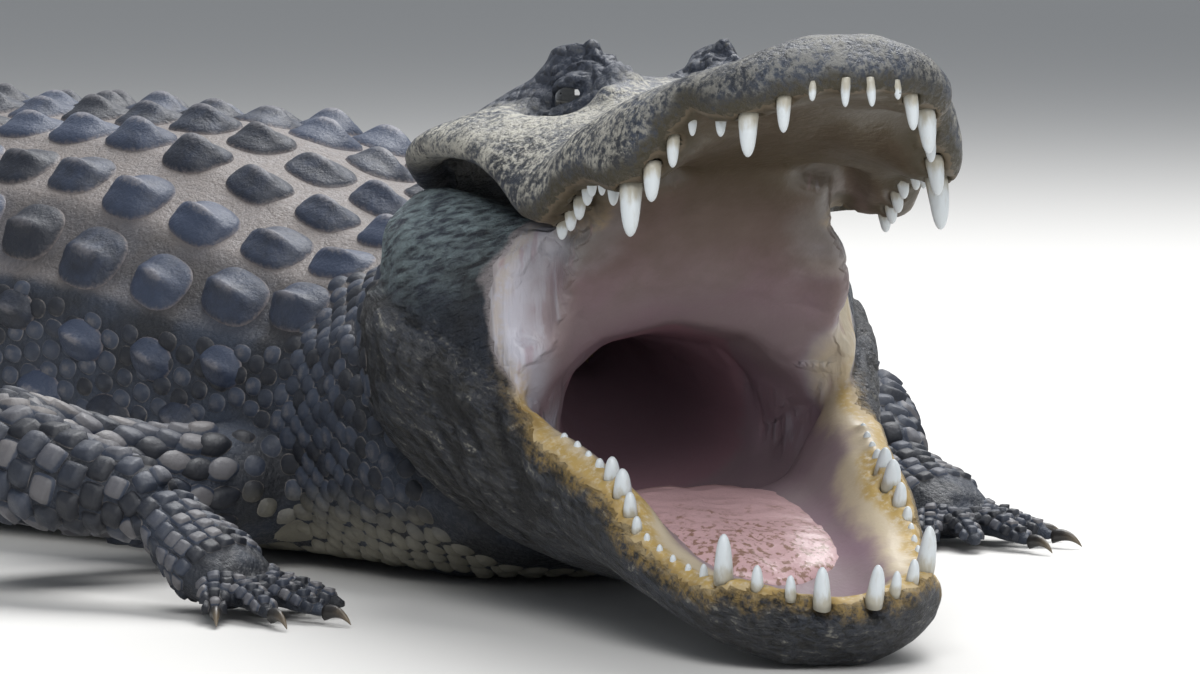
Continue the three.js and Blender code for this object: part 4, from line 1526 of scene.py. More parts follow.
@dataclass(frozen=True)
class LiningFinish:
    """Moist lining of the mouth: olive in front, pink behind, and painted shade in the throat,
    purplish brown turning darker further in.
    """

    pink: Colour = (0.27, 0.215, 0.225)
    mauve: Colour = (0.27, 0.19, 0.225)
    white: Colour = (0.46, 0.46, 0.52)
    rose: Colour = (0.24, 0.12, 0.145)
    olive: Colour = (0.042, 0.032, 0.014)
    tan: Colour = (0.092, 0.070, 0.046)
    cream: Colour = (0.55, 0.47, 0.33)
    ochre: Colour = (0.42, 0.29, 0.095)
    # Brown and black: painted shade in the throat, where the light can't reach.
    brown: Colour = (0.36, 0.215, 0.25)
    black: Colour = (0.19, 0.12, 0.145)

    def material(self) -> bpy.types.Material:
        """The finish as a material."""
        shade = Shade("mouth_lining")
        skull, jaw, cheek = shade.mark("skull"), shade.mark("jaw"), shade.mark("cheek")
        lip, throat, deep = shade.mark("lip"), shade.mark("throat"), shade.mark("deep")
        ahead = shade.axis(shade.marked_place("skull_place"), 0)
        broad = shade.noise(0.070, 3.0)
        lumps = shade.noise(0.014, 5.0, 0.55)
        fine = shade.noise(0.0040, 4.0, 0.65)
        shade.colour = shade.mix(broad.above(0.30, 0.70), self.pink, self.mauve)
        inner = (lip + (lumps - 0.5) * 10.0).above(34.0, 14.0)
        shade.tint(cheek * inner * 0.85, self.white)
        middle = (skull + cheek) * (ahead + (lumps - 0.5) * 0.3).above(1.45, 2.1)
        shade.tint(middle * 0.75, self.tan)
        front = (skull + cheek) * (ahead + (lumps - 0.5) * 0.4).above(1.9, 2.7)
        shade.tint(front * 0.92, self.olive)
        edge = (lip + (lumps - 0.5) * 10.0).above(13.0, 5.0)
        place = shade.marked_place("jaw_place")
        low = shade.axis(place, 2).above(0.95, 0.55) * shade.axis(place, 1).above(0.0, 0.4)
        band = cheek * low * (lip + (lumps - 0.5) * 12.0).above(30.0, 16.0)
        shade.tint(band * 0.85, self.cream)
        gum = jaw * (lip + (lumps - 0.5) * 14.0).above(30.0, 14.0)
        shade.tint(gum * 0.9, self.cream)
        spread = fine.above(0.30, 0.55)
        shade.tint(edge * (jaw + cheek * 0.3) * spread, self.ochre)
        shade.tint(edge * skull * 0.85, self.olive)
        RimFinish().over(shade, 0.80, 0.54, lumps)
        # Painted shade: the throat darkens, more the deeper it lies in the mouth.
        shade.tint(throat, shade.mix(deep, self.brown, self.black))
        upright = shade.stretched(shade.place, (1.0, 1.0, 0.16))
        pleats = shade.noise(0.009, 3.0, 0.5, upright, 0.4)
        level = shade.mark("upward")
        steep = level.above(-0.45, -0.10) * level.above(0.80, 0.50)
        folded = cheek * steep * (1 - throat) * (1 - deep * 0.5)
        shade.tint(folded * pleats.above(0.54, 0.66) * 0.40, self.white)
        shade.tint(folded * pleats.above(0.44, 0.32) * 0.40, self.rose)
        ridges = shade.noise(0.013, 4.0, 0.6, shade.stretched(shade.place, (0.5, 0.5, 1.0)), 0.6)
        shade.bump(pleats * folded, 0.7, 0.0050)
        shade.bump(ridges * skull, 0.35, 0.0030)
        shade.bump(lumps * 0.7 + fine * 0.35, 0.30, 0.0020)
        return shade.finish(0.30 + lumps * 0.20 + edge * 0.2)


@dataclass(frozen=True)
class ToothFinish:
    """Ivory teeth, whiter at the tip and stained at the gum."""

    white: Colour = (0.60, 0.64, 0.66)
    stained: Colour = (0.34, 0.30, 0.21)

    def material(self) -> bpy.types.Material:
        """The finish as a material."""
        shade = Shade("tooth")
        rise = shade.mark("rise")
        streaks = shade.noise(0.0045, 4.0, 0.6, shade.stretched(shade.place, (1.0, 1.0, 0.3)))
        stain = (rise + (streaks - 0.5) * 0.9).above(0.42, 0.0)
        shade.colour = shade.mix(stain * 0.8, self.white, self.stained)
        shade.tint(streaks.above(0.55, 0.8) * 0.35, self.stained)
        shade.bump(streaks, 0.25, 0.0006)
        return shade.finish(0.28 + streaks * 0.15)


@dataclass(frozen=True)
class EyeFinish:
    """A wet eye with an olive-gold iris and an upright slit pupil."""

    white: Colour = (0.010, 0.009, 0.008)
    rim: Colour = (0.006, 0.006, 0.006)
    gold: Colour = (0.024, 0.024, 0.022)
    black: Colour = (0.002, 0.002, 0.002)
    iris: float = 0.74
    pupil: float = 0.085

    def material(self) -> bpy.types.Material:
        """The finish as a material."""
        shade = Shade("eye")
        angle = shade.mark("iris")
        across, along = shade.mark("pupil_across"), shade.mark("pupil_along")
        spokes = shade.noise(0.0016, 5.0, 0.7)
        shade.colour = shade.mix(spokes.above(0.35, 0.7), self.rim, self.gold)
        shade.tint(angle.above(self.iris * 0.72, self.iris), self.rim)
        shade.tint(angle.above(self.iris, self.iris + 0.05), self.white)
        span = (along * along * (1 / 0.36) + across * across * (1 / self.pupil**2))
        shade.tint(span.above(1.15, 0.85), self.black)
        return shade.finish(0.05, coat=1.0)


@dataclass(frozen=True)
class TongueFinish:
    """A pink tongue, brown-speckled in front."""

    pink: Colour = (0.55, 0.36, 0.37)
    brown: Colour = (0.20, 0.11, 0.06)

    def material(self) -> bpy.types.Material:
        """The finish as a material."""
        shade = Shade("tongue")
        ahead = shade.mark("ahead")
        speckle = shade.noise(0.0042, 4.0, 0.6)
        lumps = shade.noise(0.012, 4.0)
        spots = speckle.above(0.50, 0.60) * (ahead + (lumps - 0.5)).above(0.25, 0.75)
        shade.colour = shade.mix(spots * 0.85, self.pink, self.brown)
        shade.bump(speckle, 0.4, 0.0012)
        return shade.finish(0.34)


@dataclass(frozen=True)
class ScuteFinish:
    """Dark navy mounds of the back, paler on their tops: wear, and a painted highlight where the light
    falls on them.
    """

    dark: Colour = (0.010, 0.013, 0.022)
    blue: Colour = (0.032, 0.045, 0.080)
    # The pale of the mounds' tops: wear, and a painted highlight.
    worn: Colour = (0.22, 0.21, 0.22)
    edge: Colour = (0.20, 0.17, 0.16)

    def material(self) -> bpy.types.Material:
        """The finish as a material."""
        shade = Shade("scute")
        rise, tone = shade.mark("rise"), shade.mark("tone")
        lumps = shade.noise(0.010, 5.0, 0.6)
        fine = shade.noise(0.0026, 4.0, 0.65)
        shade.colour = shade.mix((tone * 0.6 + lumps * 0.5).above(0.25, 0.75), self.dark, self.blue)
        # Wear with a painted highlight: the tops of the mounds turn paler.
        top = (rise + (fine - 0.5) * 0.5).above(0.72, 1.05)
        shade.tint(top * (0.35 + tone * 0.45), self.worn)
        foot = (rise + (fine - 0.5) * 0.4).above(0.20, -0.10)
        shade.tint(foot * 0.8, self.edge)
        shade.bump(lumps * 0.7 + fine * 0.6, 0.6, 0.0022)
        return shade.finish(0.40 + fine * 0.25)


@dataclass(frozen=True)
class ScaleFinish:
    """Small dark scales with pale rims."""

    dark: Colour = (0.010, 0.012, 0.018)
    blue: Colour = (0.032, 0.042, 0.066)
    pale: Colour = (0.24, 0.215, 0.195)
    belly: Colour = (0.24, 0.225, 0.175)

    def material(self) -> bpy.types.Material:
        """The finish as a material."""
        shade = Shade("small_scale")
        rise, tone = shade.mark("rise"), shade.mark("tone")
        lumps = shade.noise(0.012, 5.0, 0.6)
        fine = shade.noise(0.0024, 4.0, 0.65)
        shade.colour = shade.mix((tone * 0.7 + lumps * 0.4).above(0.25, 0.75), self.dark, self.blue)
        worn = (rise + (fine - 0.5) * 0.7).above(0.75, 1.15) * tone.above(0.45, 1.0)
        shade.tint(worn * 0.4, self.pale)
        rim = (rise + (fine - 0.5) * 0.5).above(0.30, 0.0)
        shade.tint(rim * (0.15 + lumps.above(0.45, 0.65) * 0.5), self.pale)
        height = shade.axis(shade.place, 2)
        under = (height + (lumps - 0.5) * 0.02).above(0.060, 0.020) * shade.mark("soft_side")
        shade.tint(under * 0.8, self.belly)
        lit = (height + (lumps - 0.5) * 0.05).above(0.07, 0.12) * tone.above(0.3, 0.9)
        free = (lit * (1 - shade.mark("soft_side"))) * (rise + (fine - 0.5)).above(0.5, 1.1)
        shade.tint(free * 0.45, self.pale)
        shade.bump(lumps * 0.5 + fine * 0.6, 0.55, 0.0014)
        return shade.finish(0.42 + fine * 0.25)


@dataclass(frozen=True)
class ClawFinish:
    """Blunt horn claws, nearly black with streaks along them."""

    dark: Colour = (0.018, 0.016, 0.015)
    horn: Colour = (0.14, 0.11, 0.075)

    def material(self) -> bpy.types.Material:
        """The finish as a material."""
        shade = Shade("claw")
        rise = shade.mark("rise")
        streaks = shade.noise(0.0030, 4.0, 0.6)
        shade.colour = shade.mix((rise + streaks * 0.5).above(0.5, 1.2), self.dark, self.horn)
        shade.bump(streaks, 0.3, 0.0006)
        return shade.finish(0.32 + streaks * 0.15)


@dataclass(frozen=True)
class FloorFinish:
    """A plain pale floor."""

    grey: Colour = (0.62, 0.61, 0.59)
    cool: Colour = (0.56, 0.56, 0.55)

    def material(self) -> bpy.types.Material:
        """The finish as a material."""
        shade = Shade("floor")
        cloud = shade.noise(0.9, 2.0)
        shade.colour = shade.mix(cloud * 0.08, self.grey, self.cool)
        return shade.finish(0.85)


def dress(piece: bpy.types.Object, material: bpy.types.Material) -> None:
    """Gives a piece its only material."""
    piece.data.materials.clear()
    piece.data.materials.append(material)


# The tongue


@dataclass
class Tongue:
    """The tongue: a broad pad on the floor of the mouth."""

    back: float = 192.0
    front: float = 352.0
    sink: float = 12.0
    around: int = 40
    rings: int = 48

    half_width = Profile((192, 44), (215, 58), (270, 62), (310, 52), (335, 38), (352, 18))
    top = Profile((192, -46), (215, -38), (260, -30), (320, -24), (352, -25))

    def build(self) -> bpy.types.Object:
        """The tongue as one piece.

        Returns:
            The tongue, with a shallow groove along it and a pebbled top.
        """
        noise = Noise(31)
        turn = turns(self.around)
        across = np.sign(np.sin(turn)) * np.abs(np.sin(turn)) ** 0.8
        rise = np.sign(np.cos(turn)) * np.abs(np.cos(turn)) ** 0.8
        points, ahead = [], []
        for x in np.linspace(self.back, self.front, self.rings):
            top, half = float(self.top(x)), float(self.half_width(x))
            low = top - 2 * self.sink
            middle = (top + low) / 2
            shrink = min(1.0, math.sqrt(max(self.front + 1 - x, 0.0) / 14.0))
            y = across * half * (0.55 + 0.45 * shrink)
            z = middle + rise * (top - middle) * (0.5 + 0.5 * shrink)
            z = z - (rise > 0) * 1.6 * hill(y, 7.0)
            ring = np.stack([np.full(self.around, x), y, z], -1)
            ring[:, 2] += (rise > 0) * 0.9 * noise(ring, 5.0)
            points.append(ring)
            ahead.append(np.full(self.around, (x - self.back) / (self.front - self.back)))
        body = np.concatenate(points + [points[0].mean(0)[None], points[-1].mean(0)[None]])
        body[:, 1] += Head.jaw_swing(body[:, 0])
        faces = tube_faces(0, self.around, self.rings, 1)
        ahead = np.concatenate(ahead + [[0.0, 1.0]])
        return solid("tongue_pad", JAW.world(body), faces, ahead=ahead)


# The scales


class Wrap:
    """Lines round a stretch of the body or a limb, along which its scales are laid."""

    AROUND = 72
    LEAST = 0.22

    def __init__(
        self, tree: BVHTree, stations: np.ndarray, centres: np.ndarray, forwards: np.ndarray,
        ups: np.ndarray, reach: np.ndarray, slack: float,
    ) -> None:
        """Finds the skin round each station.

        Args:
            tree: the skin's triangles.
            stations: evenly spaced places along the stretch in millimetres.
            centres: a point inside the flesh at each station.
            forwards: the direction along the stretch at each station.
            ups: the direction of the middle of its upper side.
            reach: expected distance from the centre to the skin, for each station and angle.
            slack: how far beyond that the skin may be, as a factor.
        """
        self.stations = stations
        turn = np.linspace(-np.pi, np.pi, self.AROUND + 1)
        lefts = np.cross(ups, forwards)
        self.rings = np.zeros((len(stations), len(turn), 3))
        self.found = np.zeros((len(stations), len(turn)))
        for k, centre in enumerate(centres):
            rays = np.outer(np.cos(turn), ups[k]) + np.outer(np.sin(turn), lefts[k])
            for i, ray in enumerate(rays):
                hit = tree.ray_cast(Vector(centre), Vector(ray), reach[k, i] * slack)
                good = hit[0] is not None and hit[3] > reach[k, i] * self.LEAST
                self.found[k, i] = good
                self.rings[k, i] = hit[0] if good else centre + ray * reach[k, i]

    def ring(self, u: float) -> tuple[np.ndarray, np.ndarray, np.ndarray]:
        """The ring at a place along the stretch: its points, their arcs and what was found."""
        place = np.interp(u, self.stations, np.arange(len(self.stations)))
        k = min(int(place), len(self.stations) - 2)
        share = place - k
        points = (1 - share) * self.rings[k] + share * self.rings[k + 1]
        found = np.minimum(self.found[k], self.found[k + 1])
        arc = arcs_along(points) / MM
        return points, arc - arc[self.AROUND // 2], found

    def reach(self, u: float) -> float:
        """Half the way round at a place along the stretch, in millimetres."""
        return float(min(-self.ring(u)[1][0], self.ring(u)[1][-1]))

    def row(self, u: float, arcs: np.ndarray) -> tuple[np.ndarray, np.ndarray]:
        """Points of one ring.

        Args:
            u: place along the stretch.
            arcs: distances from the middle of the upper side, in millimetres.

        Returns:
            The points, and 1 for each that lies on skin.
        """
        points, arc, found = self.ring(u)
        placed = np.stack([np.interp(arcs, arc, column) for column in points.T], -1)
        return placed, (np.interp(arcs, arc, found) > 0.99).astype(float)


@dataclass
class Sites:
    """Where the scales of one piece stand."""

    rows: list[tuple] = field(default_factory=list)

    def add(
        self, wrap: Wrap, tree: BVHTree, u: float, arcs: np.ndarray, length: float,
        width: float, height: np.ndarray | float, tile: tuple[float, float], keep: object = None,
    ) -> None:
        """Adds scales along one ring.

        Args:
            wrap: the stretch they lie on.
            tree: the skin's triangles.
            u: place of their middles along it.
            arcs: their distances from the middle of the upper side, in millimetres.
            length: length of each in millimetres.
            width: width of each.
            height: height of each.
            tile: corner of the stretch's own part of the unwrap, from 0 to 1.
            keep: a test of the points, true where a scale may stand.
        """
        arcs = np.atleast_1d(arcs)
        heights = np.broadcast_to(height, arcs.shape)
        points, found = wrap.row(u, arcs)
        ahead = wrap.row(u + 6, arcs)[0] - wrap.row(u - 6, arcs)[0]
        for i, point in enumerate(points):
            if not found[i] or (keep is not None and not keep(point)):
                continue
            place, normal, _, _ = tree.find_nearest(Vector(point))
            forward = Vector(ahead[i])
            forward = (forward - normal * forward.dot(normal)).normalized()
            left = normal.cross(forward)
            turn = Matrix((forward, left, normal)).transposed().to_euler()
            root = (tile[0] + u * Coat.UNWRAP, tile[1] + arcs[i] * Coat.UNWRAP)
            size = (length * MM, width * MM, 1.0)
            self.rows.append((tuple(place), tuple(turn), size, heights[i] * MM, root))


@dataclass(frozen=True)
class ScaleForm:
    """The shape of one scale, 1 long and 1 wide."""

    square: float = 2.6
    across: int = 8
    keel: float = 0.0
    keel_width: float = 0.16
    back: float = 0.0
    dome: float = 2.2
    soft: float = 0.6

    def build(self, name: str) -> bpy.types.Object:
        """One scale, with the height of each of its points marked on it.

        Args:
            name: the object's name.

        Returns:
            The scale, forward along X.
        """
        line = np.linspace(-1, 1, self.across + 1)
        x, y = (grid.ravel() for grid in np.meshgrid(line, line, indexing="ij"))
        reach = np.maximum(np.abs(x), np.abs(y))
        away = (np.abs(x) ** self.square + np.abs(y) ** self.square) ** (1 / self.square)
        share = np.where(away > 0, reach / np.maximum(away, 1e-9), 1.0)
        x, y = x * share, y * share
        mound = np.clip(1 - reach**self.dome, 0, 1) ** self.soft
        mound = mound * (1 - self.back * (0.5 + 0.5 * x))
        ridge = np.exp(-((y / self.keel_width) ** 2)) * np.clip(1 - np.abs(x + 0.12) ** 2.5, 0, 1)
        rise = mound * (1 - self.keel) + self.keel * ridge
        rise = np.where(reach > 0.999, -0.35, rise)
        i, j = np.meshgrid(range(self.across), range(self.across), indexing="ij")
        first = (i * (self.across + 1) + j).ravel()
        faces = np.stack([first, first + self.across + 1, first + self.across + 2, first + 1], -1)
        points = np.stack([x / 2, y / 2, np.zeros_like(x)], -1)
        mesh = new_mesh(name, points, faces)
        put_attribute(mesh, "rise", rise)
        put_attribute(mesh, "tile", points)
        return add_object(name, mesh)


class Coat:
    """Lays scales over the skin with one tree of geometry nodes."""

    UNWRAP = 0.0003
    PATCH = 0.003

    def __init__(self, skin: bpy.types.Object, seed: int) -> None:
        """Builds the tree.

        Args:
            skin: the hide, with its outward direction marked at each point.
            seed: seed of what differs from scale to scale.
        """
        self.skin = skin
        self.random = np.random.default_rng(seed)
        self.tree = bpy.data.node_groups.new("scales", "GeometryNodeTree")
        face = self.tree.interface
        for name, kind in (
            ("Geometry", "Geometry"), ("Scale", "Object"), ("Skin", "Object"),
            ("Patch", "Float"), ("Finish", "Material"),
        ):
            face.new_socket(name, in_out="INPUT", socket_type=f"NodeSocket{kind}")
        face.new_socket("Geometry", in_out="OUTPUT", socket_type="NodeSocketGeometry")
        self.wire()

    def add(self, kind: str, settings: dict, inputs: dict) -> bpy.types.Node:
        """A new node of the tree with its properties and its inputs set."""
        return add_node(self.tree, kind, settings, inputs)

    def named(self, name: str, kind: str = "FLOAT_VECTOR") -> bpy.types.NodeSocket:
        """An attribute of the geometry."""
        settings = {"data_type": kind}
        return self.add("GeometryNodeInputNamedAttribute", settings, {"Name": name}).outputs[0]

    def vector(self, operation: str, first: object, second: object) -> bpy.types.NodeSocket:
        """Works out a vector from two others, or from a vector and a factor."""
        second_input = "Scale" if operation == "SCALE" else 1
        inputs = {0: first, second_input: second}
        return self.add("ShaderNodeVectorMath", {"operation": operation}, inputs).outputs[0]

    def wire(self) -> None:
        """Links the tree: set out the scales, fit them to the skin, unwrap them."""
        start = self.add("NodeGroupInput", {}, {})
        scale = self.add("GeometryNodeObjectInfo", {}, {"Object": start.outputs["Scale"]})
        skin = self.add("GeometryNodeObjectInfo", {}, {"Object": start.outputs["Skin"]})
        turn = self.add("FunctionNodeEulerToRotation", {}, {0: self.named("turn")})
        laid = self.add("GeometryNodeInstanceOnPoints", {}, {
            "Points": start.outputs["Geometry"], "Instance": scale.outputs["Geometry"],
            "Rotation": turn.outputs[0], "Scale": self.named("size"),
        })
        real = self.add("GeometryNodeRealizeInstances", {}, {"Geometry": laid.outputs[0]})
        near = self.add(
            "GeometryNodeProximity", {"target_element": "FACES"}, {0: skin.outputs["Geometry"]}
        )
        out = self.add("GeometryNodeSampleNearestSurface", {"data_type": "FLOAT_VECTOR"}, {
            "Mesh": skin.outputs["Geometry"], "Value": self.named("outward"),
        })
        away = self.add("ShaderNodeMath", {"operation": "MULTIPLY"}, {
            0: self.named("rise", "FLOAT"), 1: self.named("height", "FLOAT"),
        })
        normal = self.vector("NORMALIZE", out.outputs[0], (0.0, 0.0, 0.0))
        offset = self.vector("SCALE", normal, away.outputs[0])
        fitted = self.add("GeometryNodeSetPosition", {}, {
            "Geometry": real.outputs[0],
            "Position": self.vector("ADD", near.outputs["Position"], offset),
        })
        patch = self.vector("SCALE", self.named("tile"), start.outputs["Patch"])
        stored = self.add(
            "GeometryNodeStoreNamedAttribute", {"data_type": "FLOAT2", "domain": "CORNER"}, {
                "Geometry": fitted.outputs[0], "Name": "OFBake",
                "Value": self.vector("ADD", self.named("root"), patch),
            })
        smooth = self.add("GeometryNodeSetShadeSmooth", {}, {"Geometry": stored.outputs[0]})
        dressed = self.add("GeometryNodeSetMaterial", {}, {
            "Geometry": smooth.outputs[0], "Material": start.outputs["Finish"],
        })
        self.add("NodeGroupOutput", {}, {"Geometry": dressed.outputs[0]})

    def lay(
        self, name: str, form: ScaleForm, sites: Sites, finish: bpy.types.Material
    ) -> bpy.types.Object:
        """Makes one piece of scales.

        Args:
            name: the piece's name.
            form: the shape of its scales.
            sites: where they stand.
            finish: their material.

        Returns:
            The scales as one plain mesh.
        """
        places, turns, sizes, heights, roots = (np.array(column) for column in zip(*sites.rows))
        count = len(places)
        points = bpy.data.meshes.new(f"{name}_points")
        points.vertices.add(count)
        points.vertices.foreach_set("co", places.astype(np.float32).ravel())
        uneven = self.random.uniform(0.92, 1.08, (count, 2))
        sizes[:, :2] *= uneven
        put_attribute(points, "turn", turns + self.random.normal(0, 0.04, (count, 3)) * (0, 0, 1))
        put_attribute(points, "size", sizes)
        put_attribute(points, "height", heights * self.random.uniform(0.8, 1.15, count))
        put_attribute(points, "root", np.concatenate([roots, np.zeros((count, 1))], 1))
        put_attribute(points, "tone", self.random.uniform(0, 1, count))
        on_leg = "arm" in name or "leg" in name
        put_attribute(points, "soft_side", np.full(count, 0.0 if on_leg else 1.0))
        made = add_object(name, points)
        scale = form.build(f"{name}_form")
        layer = made.modifiers.new("scales", "NODES")
        layer.node_group = self.tree
        values = {"Scale": scale, "Skin": self.skin, "Patch": self.PATCH, "Finish": finish}
        for item in self.tree.interface.items_tree:
            if item.in_out == "INPUT" and item.name in values:
                layer[item.identifier] = values[item.name]
        mesh = evaluated(made)
        made.modifiers.clear()
        made.data = mesh
        mesh.name = name
        for extra in ("turn", "size", "height", "root"):
            if extra in mesh.attributes:
                mesh.attributes.remove(mesh.attributes[extra])
        bpy.data.objects.remove(scale)
        bpy.data.meshes.remove(points)
        return made


@dataclass
class Limb:
    """One leg: the middle line of its flesh, and its foot."""

    name: str
    side: int
    points: tuple[Place, ...]
    radius: Profile
    heading: float
    palm: tuple[float, float, float]
    toe_radius: float
    toes: tuple[tuple[float, float, float], ...]

    SAMPLES = 60

    def line(self) -> np.ndarray:
        """Points in millimetres along the middle of the leg, evenly spaced."""
        corners = np.array(self.points) * (1, self.side, 1)
        ends = np.concatenate([[2 * corners[0] - corners[1]], corners,
                               [2 * corners[-1] - corners[-2]]])
        made = []
        for p0, p1, p2, p3 in zip(ends, ends[1:], ends[2:], ends[3:]):
            for t in np.linspace(0, 1, 24, endpoint=False):
                made.append(0.5 * (2 * p1 + (p2 - p0) * t + (2 * p0 - 5 * p1 + 4 * p2 - p3) * t**2
                                   + (3 * p1 - p0 - 3 * p2 + p3) * t**3))
        made = np.array(made + [corners[-1]])
        arc = arcs_along(made)
        even = np.linspace(0, arc[-1], self.SAMPLES)
        return np.stack([np.interp(even, arc, column) for column in made.T], -1)

    def direction(self, degrees: float) -> np.ndarray:
        """The level direction at an angle outwards from straight ahead."""
        angle = math.radians(degrees)
        return np.array([math.cos(angle), self.side * math.sin(angle), 0.0])

    def toe_lines(self) -> list[np.ndarray]:
        """The middle line of each toe, from its knuckle to the claw's tip, in millimetres."""
        wrist = np.array(self.points[-1]) * (1, self.side, 1)
        length, width, height = self.palm
        forward = self.direction(self.heading)
        knuckles = wrist + forward * length
        lines = []
        for turn, reach, claw in self.toes:
            root = knuckles + (self.direction(self.heading + 1.6 * turn) - forward) * 0.45 * width
            ray = self.direction(self.heading + turn)
            root = root * (1, 1, 0) + (0, 0, 0.9 * height)
            middle = (root + ray * reach / 2) * (1, 1, 0) + (0, 0, 1.5 * self.toe_radius)
            tip = (root + ray * reach) * (1, 1, 0) + (0, 0, 0.62 * self.toe_radius)
            lines.append(np.array([root, middle, tip, tip + ray * claw]))
        return lines


ARM_RADIUS = Profile((0, 52), (0.25, 38), (0.5, 37), (0.75, 31), (1, 23))
LEG_RADIUS = Profile((0, 78), (0.25, 68), (0.5, 47), (0.75, 39), (1, 26))
HAND_TOES = ((44, 46, 15), (22, 62, 17), (1, 68, 17), (-21, 60, 0), (-43, 46, 0))
FOOT_TOES = ((26, 60, 18), (9, 82, 20), (-8, 92, 20), (-27, 78, 0))
LIMBS = (
    Limb("arm_right", -1, ((412, 104, 62), (398, 204, 52), (370, 320, 80), (446, 328, 70),
                           (514, 306, 58)), ARM_RADIUS, -8, (70, 36, 17), 9, HAND_TOES),
    Limb("arm_left", 1, ((412, 104, 62), (402, 204, 52), (380, 318, 78), (462, 306, 65),
                         (532, 262, 48)), ARM_RADIUS, -4, (70, 36, 17), 9, HAND_TOES),
    Limb("leg_right", -1, ((-408, 84, 128), (-372, 205, 112), (-318, 306, 84), (-402, 356, 60),
                           (-478, 352, 42)), LEG_RADIUS, 38, (92, 40, 18), 10, FOOT_TOES),
    Limb("leg_left", 1, ((-408, 84, 128), (-386, 205, 112), (-344, 306, 82), (-434, 346, 58),
                         (-512, 332, 42)), LEG_RADIUS, 46, (92, 40, 18), 10, FOOT_TOES),
)


@dataclass
class Scales:
    """All the scales of the animal."""

    hide: bpy.types.Object
    seed: int = 7

    SCUTE = ScaleForm(square=2.7, across=14, keel=0.40, keel_width=0.20, soft=1.15)
    CREST = ScaleForm(square=2.4, across=10, keel=0.85, keel_width=0.30)
    SIDE_MOUND = ScaleForm(square=2.2, across=10, keel=0.40, keel_width=0.24, soft=1.1)
    ROUND = ScaleForm(square=2.5, across=5, dome=2.4)
    BRICK = ScaleForm(square=5.0, across=5, dome=4.0, back=0.3)
    SHINGLE = ScaleForm(square=6.0, across=6, dome=5.0, back=-1.2, soft=0.5)
    LOZENGE = ScaleForm(square=1.6, across=6, back=-1.0, dome=4.0)

    BODY_TILE = (0.72, 0.5)
    COLUMN = 52
    BACK_SPREAD = Profile((-450, 0.86), (-200, 1.0), (250, 1.0), (440, 0.78))
    FLANK_SPREAD = Profile((-480, 0.80), (-200, 1.0), (250, 1.0), (440, 0.8))
    FLANK_EDGE = 212
    BELLY_HALF = 190
    NAPE_HALF = 102
    NAPE_FRONT = 570
    CREST_JOINS = -1330
    CREST_STEP = Profile((-2170, 30), (-1300, 48), (-500, 56))
    CREST_APART = Profile((-1400, 0), (-1250, 24), (-500, 52))
    CREST_HEIGHT = Profile((-2170, 12), (-1700, 20), (-1300, 19), (-900, 14), (-500, 9))
    TAIL_STEP = Profile((-2170, 18), (-1300, 26), (-500, 30))
    TAIL_WIDTH = Profile((-2170, 9), (-1300, 16), (-500, 21))
    TAIL_EDGE = Profile((-2170, 6), (-1400, 14), (-1250, 40), (-500, 112))
    UPPER_LEG = 0.52
    HIND_LEG_SIZE = 1.25
    TOE_ARCS = (-0.55, 0.0, 0.55)

    def __post_init__(self) -> None:
        """Marks the outward direction on the hide and wraps the body."""
        points, triangles = read_mesh(self.hide.data)
        put_attribute(self.hide.data, "outward", Surface(points, triangles).normals())
        self.tree = BVHTree.FromPolygons(points.tolist(), triangles.tolist())
        self.coat = Coat(self.hide, self.seed)
        self.spine = Spine()
        self.body = self.wrap_body()

    def wrap_body(self) -> Wrap:
        """The lines round the neck, the trunk and the tail."""
        u = np.arange(-2150, 640, 10.0)
        centres, forwards = self.spine.at(u)
        top, half = self.spine.top(u) * MM, self.spine.half_width(u) * MM
        middle = top * 0.46
        centres[:, 2] = middle
        turn = np.linspace(-np.pi, np.pi, Wrap.AROUND + 1)
        tall = np.where(np.cos(turn) > 0, (top - middle)[:, None], middle[:, None])
        power = 2.4
        reach = np.abs(np.sin(turn) / half[:, None]) ** power + np.abs(np.cos(turn) / tall) ** power
        reach = reach ** (-1 / power)
        ups = np.broadcast_to(UP, forwards.shape)
        return Wrap(self.tree, u, centres, forwards, ups, reach, 1.2)

    def wrap_line(self, line: np.ndarray, radius: np.ndarray, slack: float) -> Wrap:
        """The lines round a leg or a toe.

        Args:
            line: points along its middle in millimetres.
            radius: its radius at each of them.
            slack: how far beyond it the skin may be, as a factor.

        Returns:
            The wrap, with its upper side on top.
        """
        forwards = np.gradient(line, axis=0)
        forwards /= np.linalg.norm(forwards, axis=1, keepdims=True)
        ups = np.array(UP) - forwards * forwards[:, 2:]
        ups /= np.linalg.norm(ups, axis=1, keepdims=True)
        reach = np.repeat(radius[:, None], Wrap.AROUND + 1, 1) * MM
        return Wrap(self.tree, arcs_along(line), line * MM, forwards, ups, reach, slack)

    @staticmethod
    def off_floor(point: np.ndarray) -> bool:
        """Whether a point is clear of what the animal lies on."""
        return point[2] > 0.006

    def on_body(
        self, sites: Sites, u: float, arcs: np.ndarray, size: tuple, keep: object = None
    ) -> None:
        """Adds scales of one size (length, width and height) along a ring of the body."""
        sites.add(self.body, self.tree, u, arcs, *size, self.BODY_TILE, keep)

    def both_sides(self, sites: Sites, u: float, arcs: np.ndarray, size: tuple) -> None:
        """Adds scales down both sides of the body, where it is clear of the floor."""
        for side in (-1, 1):
            self.on_body(sites, u, side * arcs, size, self.off_floor)

    def dorsal(self) -> Sites:
        """The keeled scutes of the back and the first part of the tail."""
        sites = Sites()
        columns = np.arange(-3.5, 4.0) * self.COLUMN
        height = np.array([15.0, 15.5, 15.0, 14.0, 14.0, 15.0, 15.5, 15.0])
        for k in range(16):
            u = 430 - 58 * k
            spread = float(self.BACK_SPREAD(u))
            self.on_body(sites, u, columns * spread, (self.COLUMN, 47 * spread, height))
        for u, places in ((548, (-26, 26)), (500, (-76, -26, 26, 76))):
            self.on_body(sites, u, np.array(places), (46, 44, 12))
        return sites

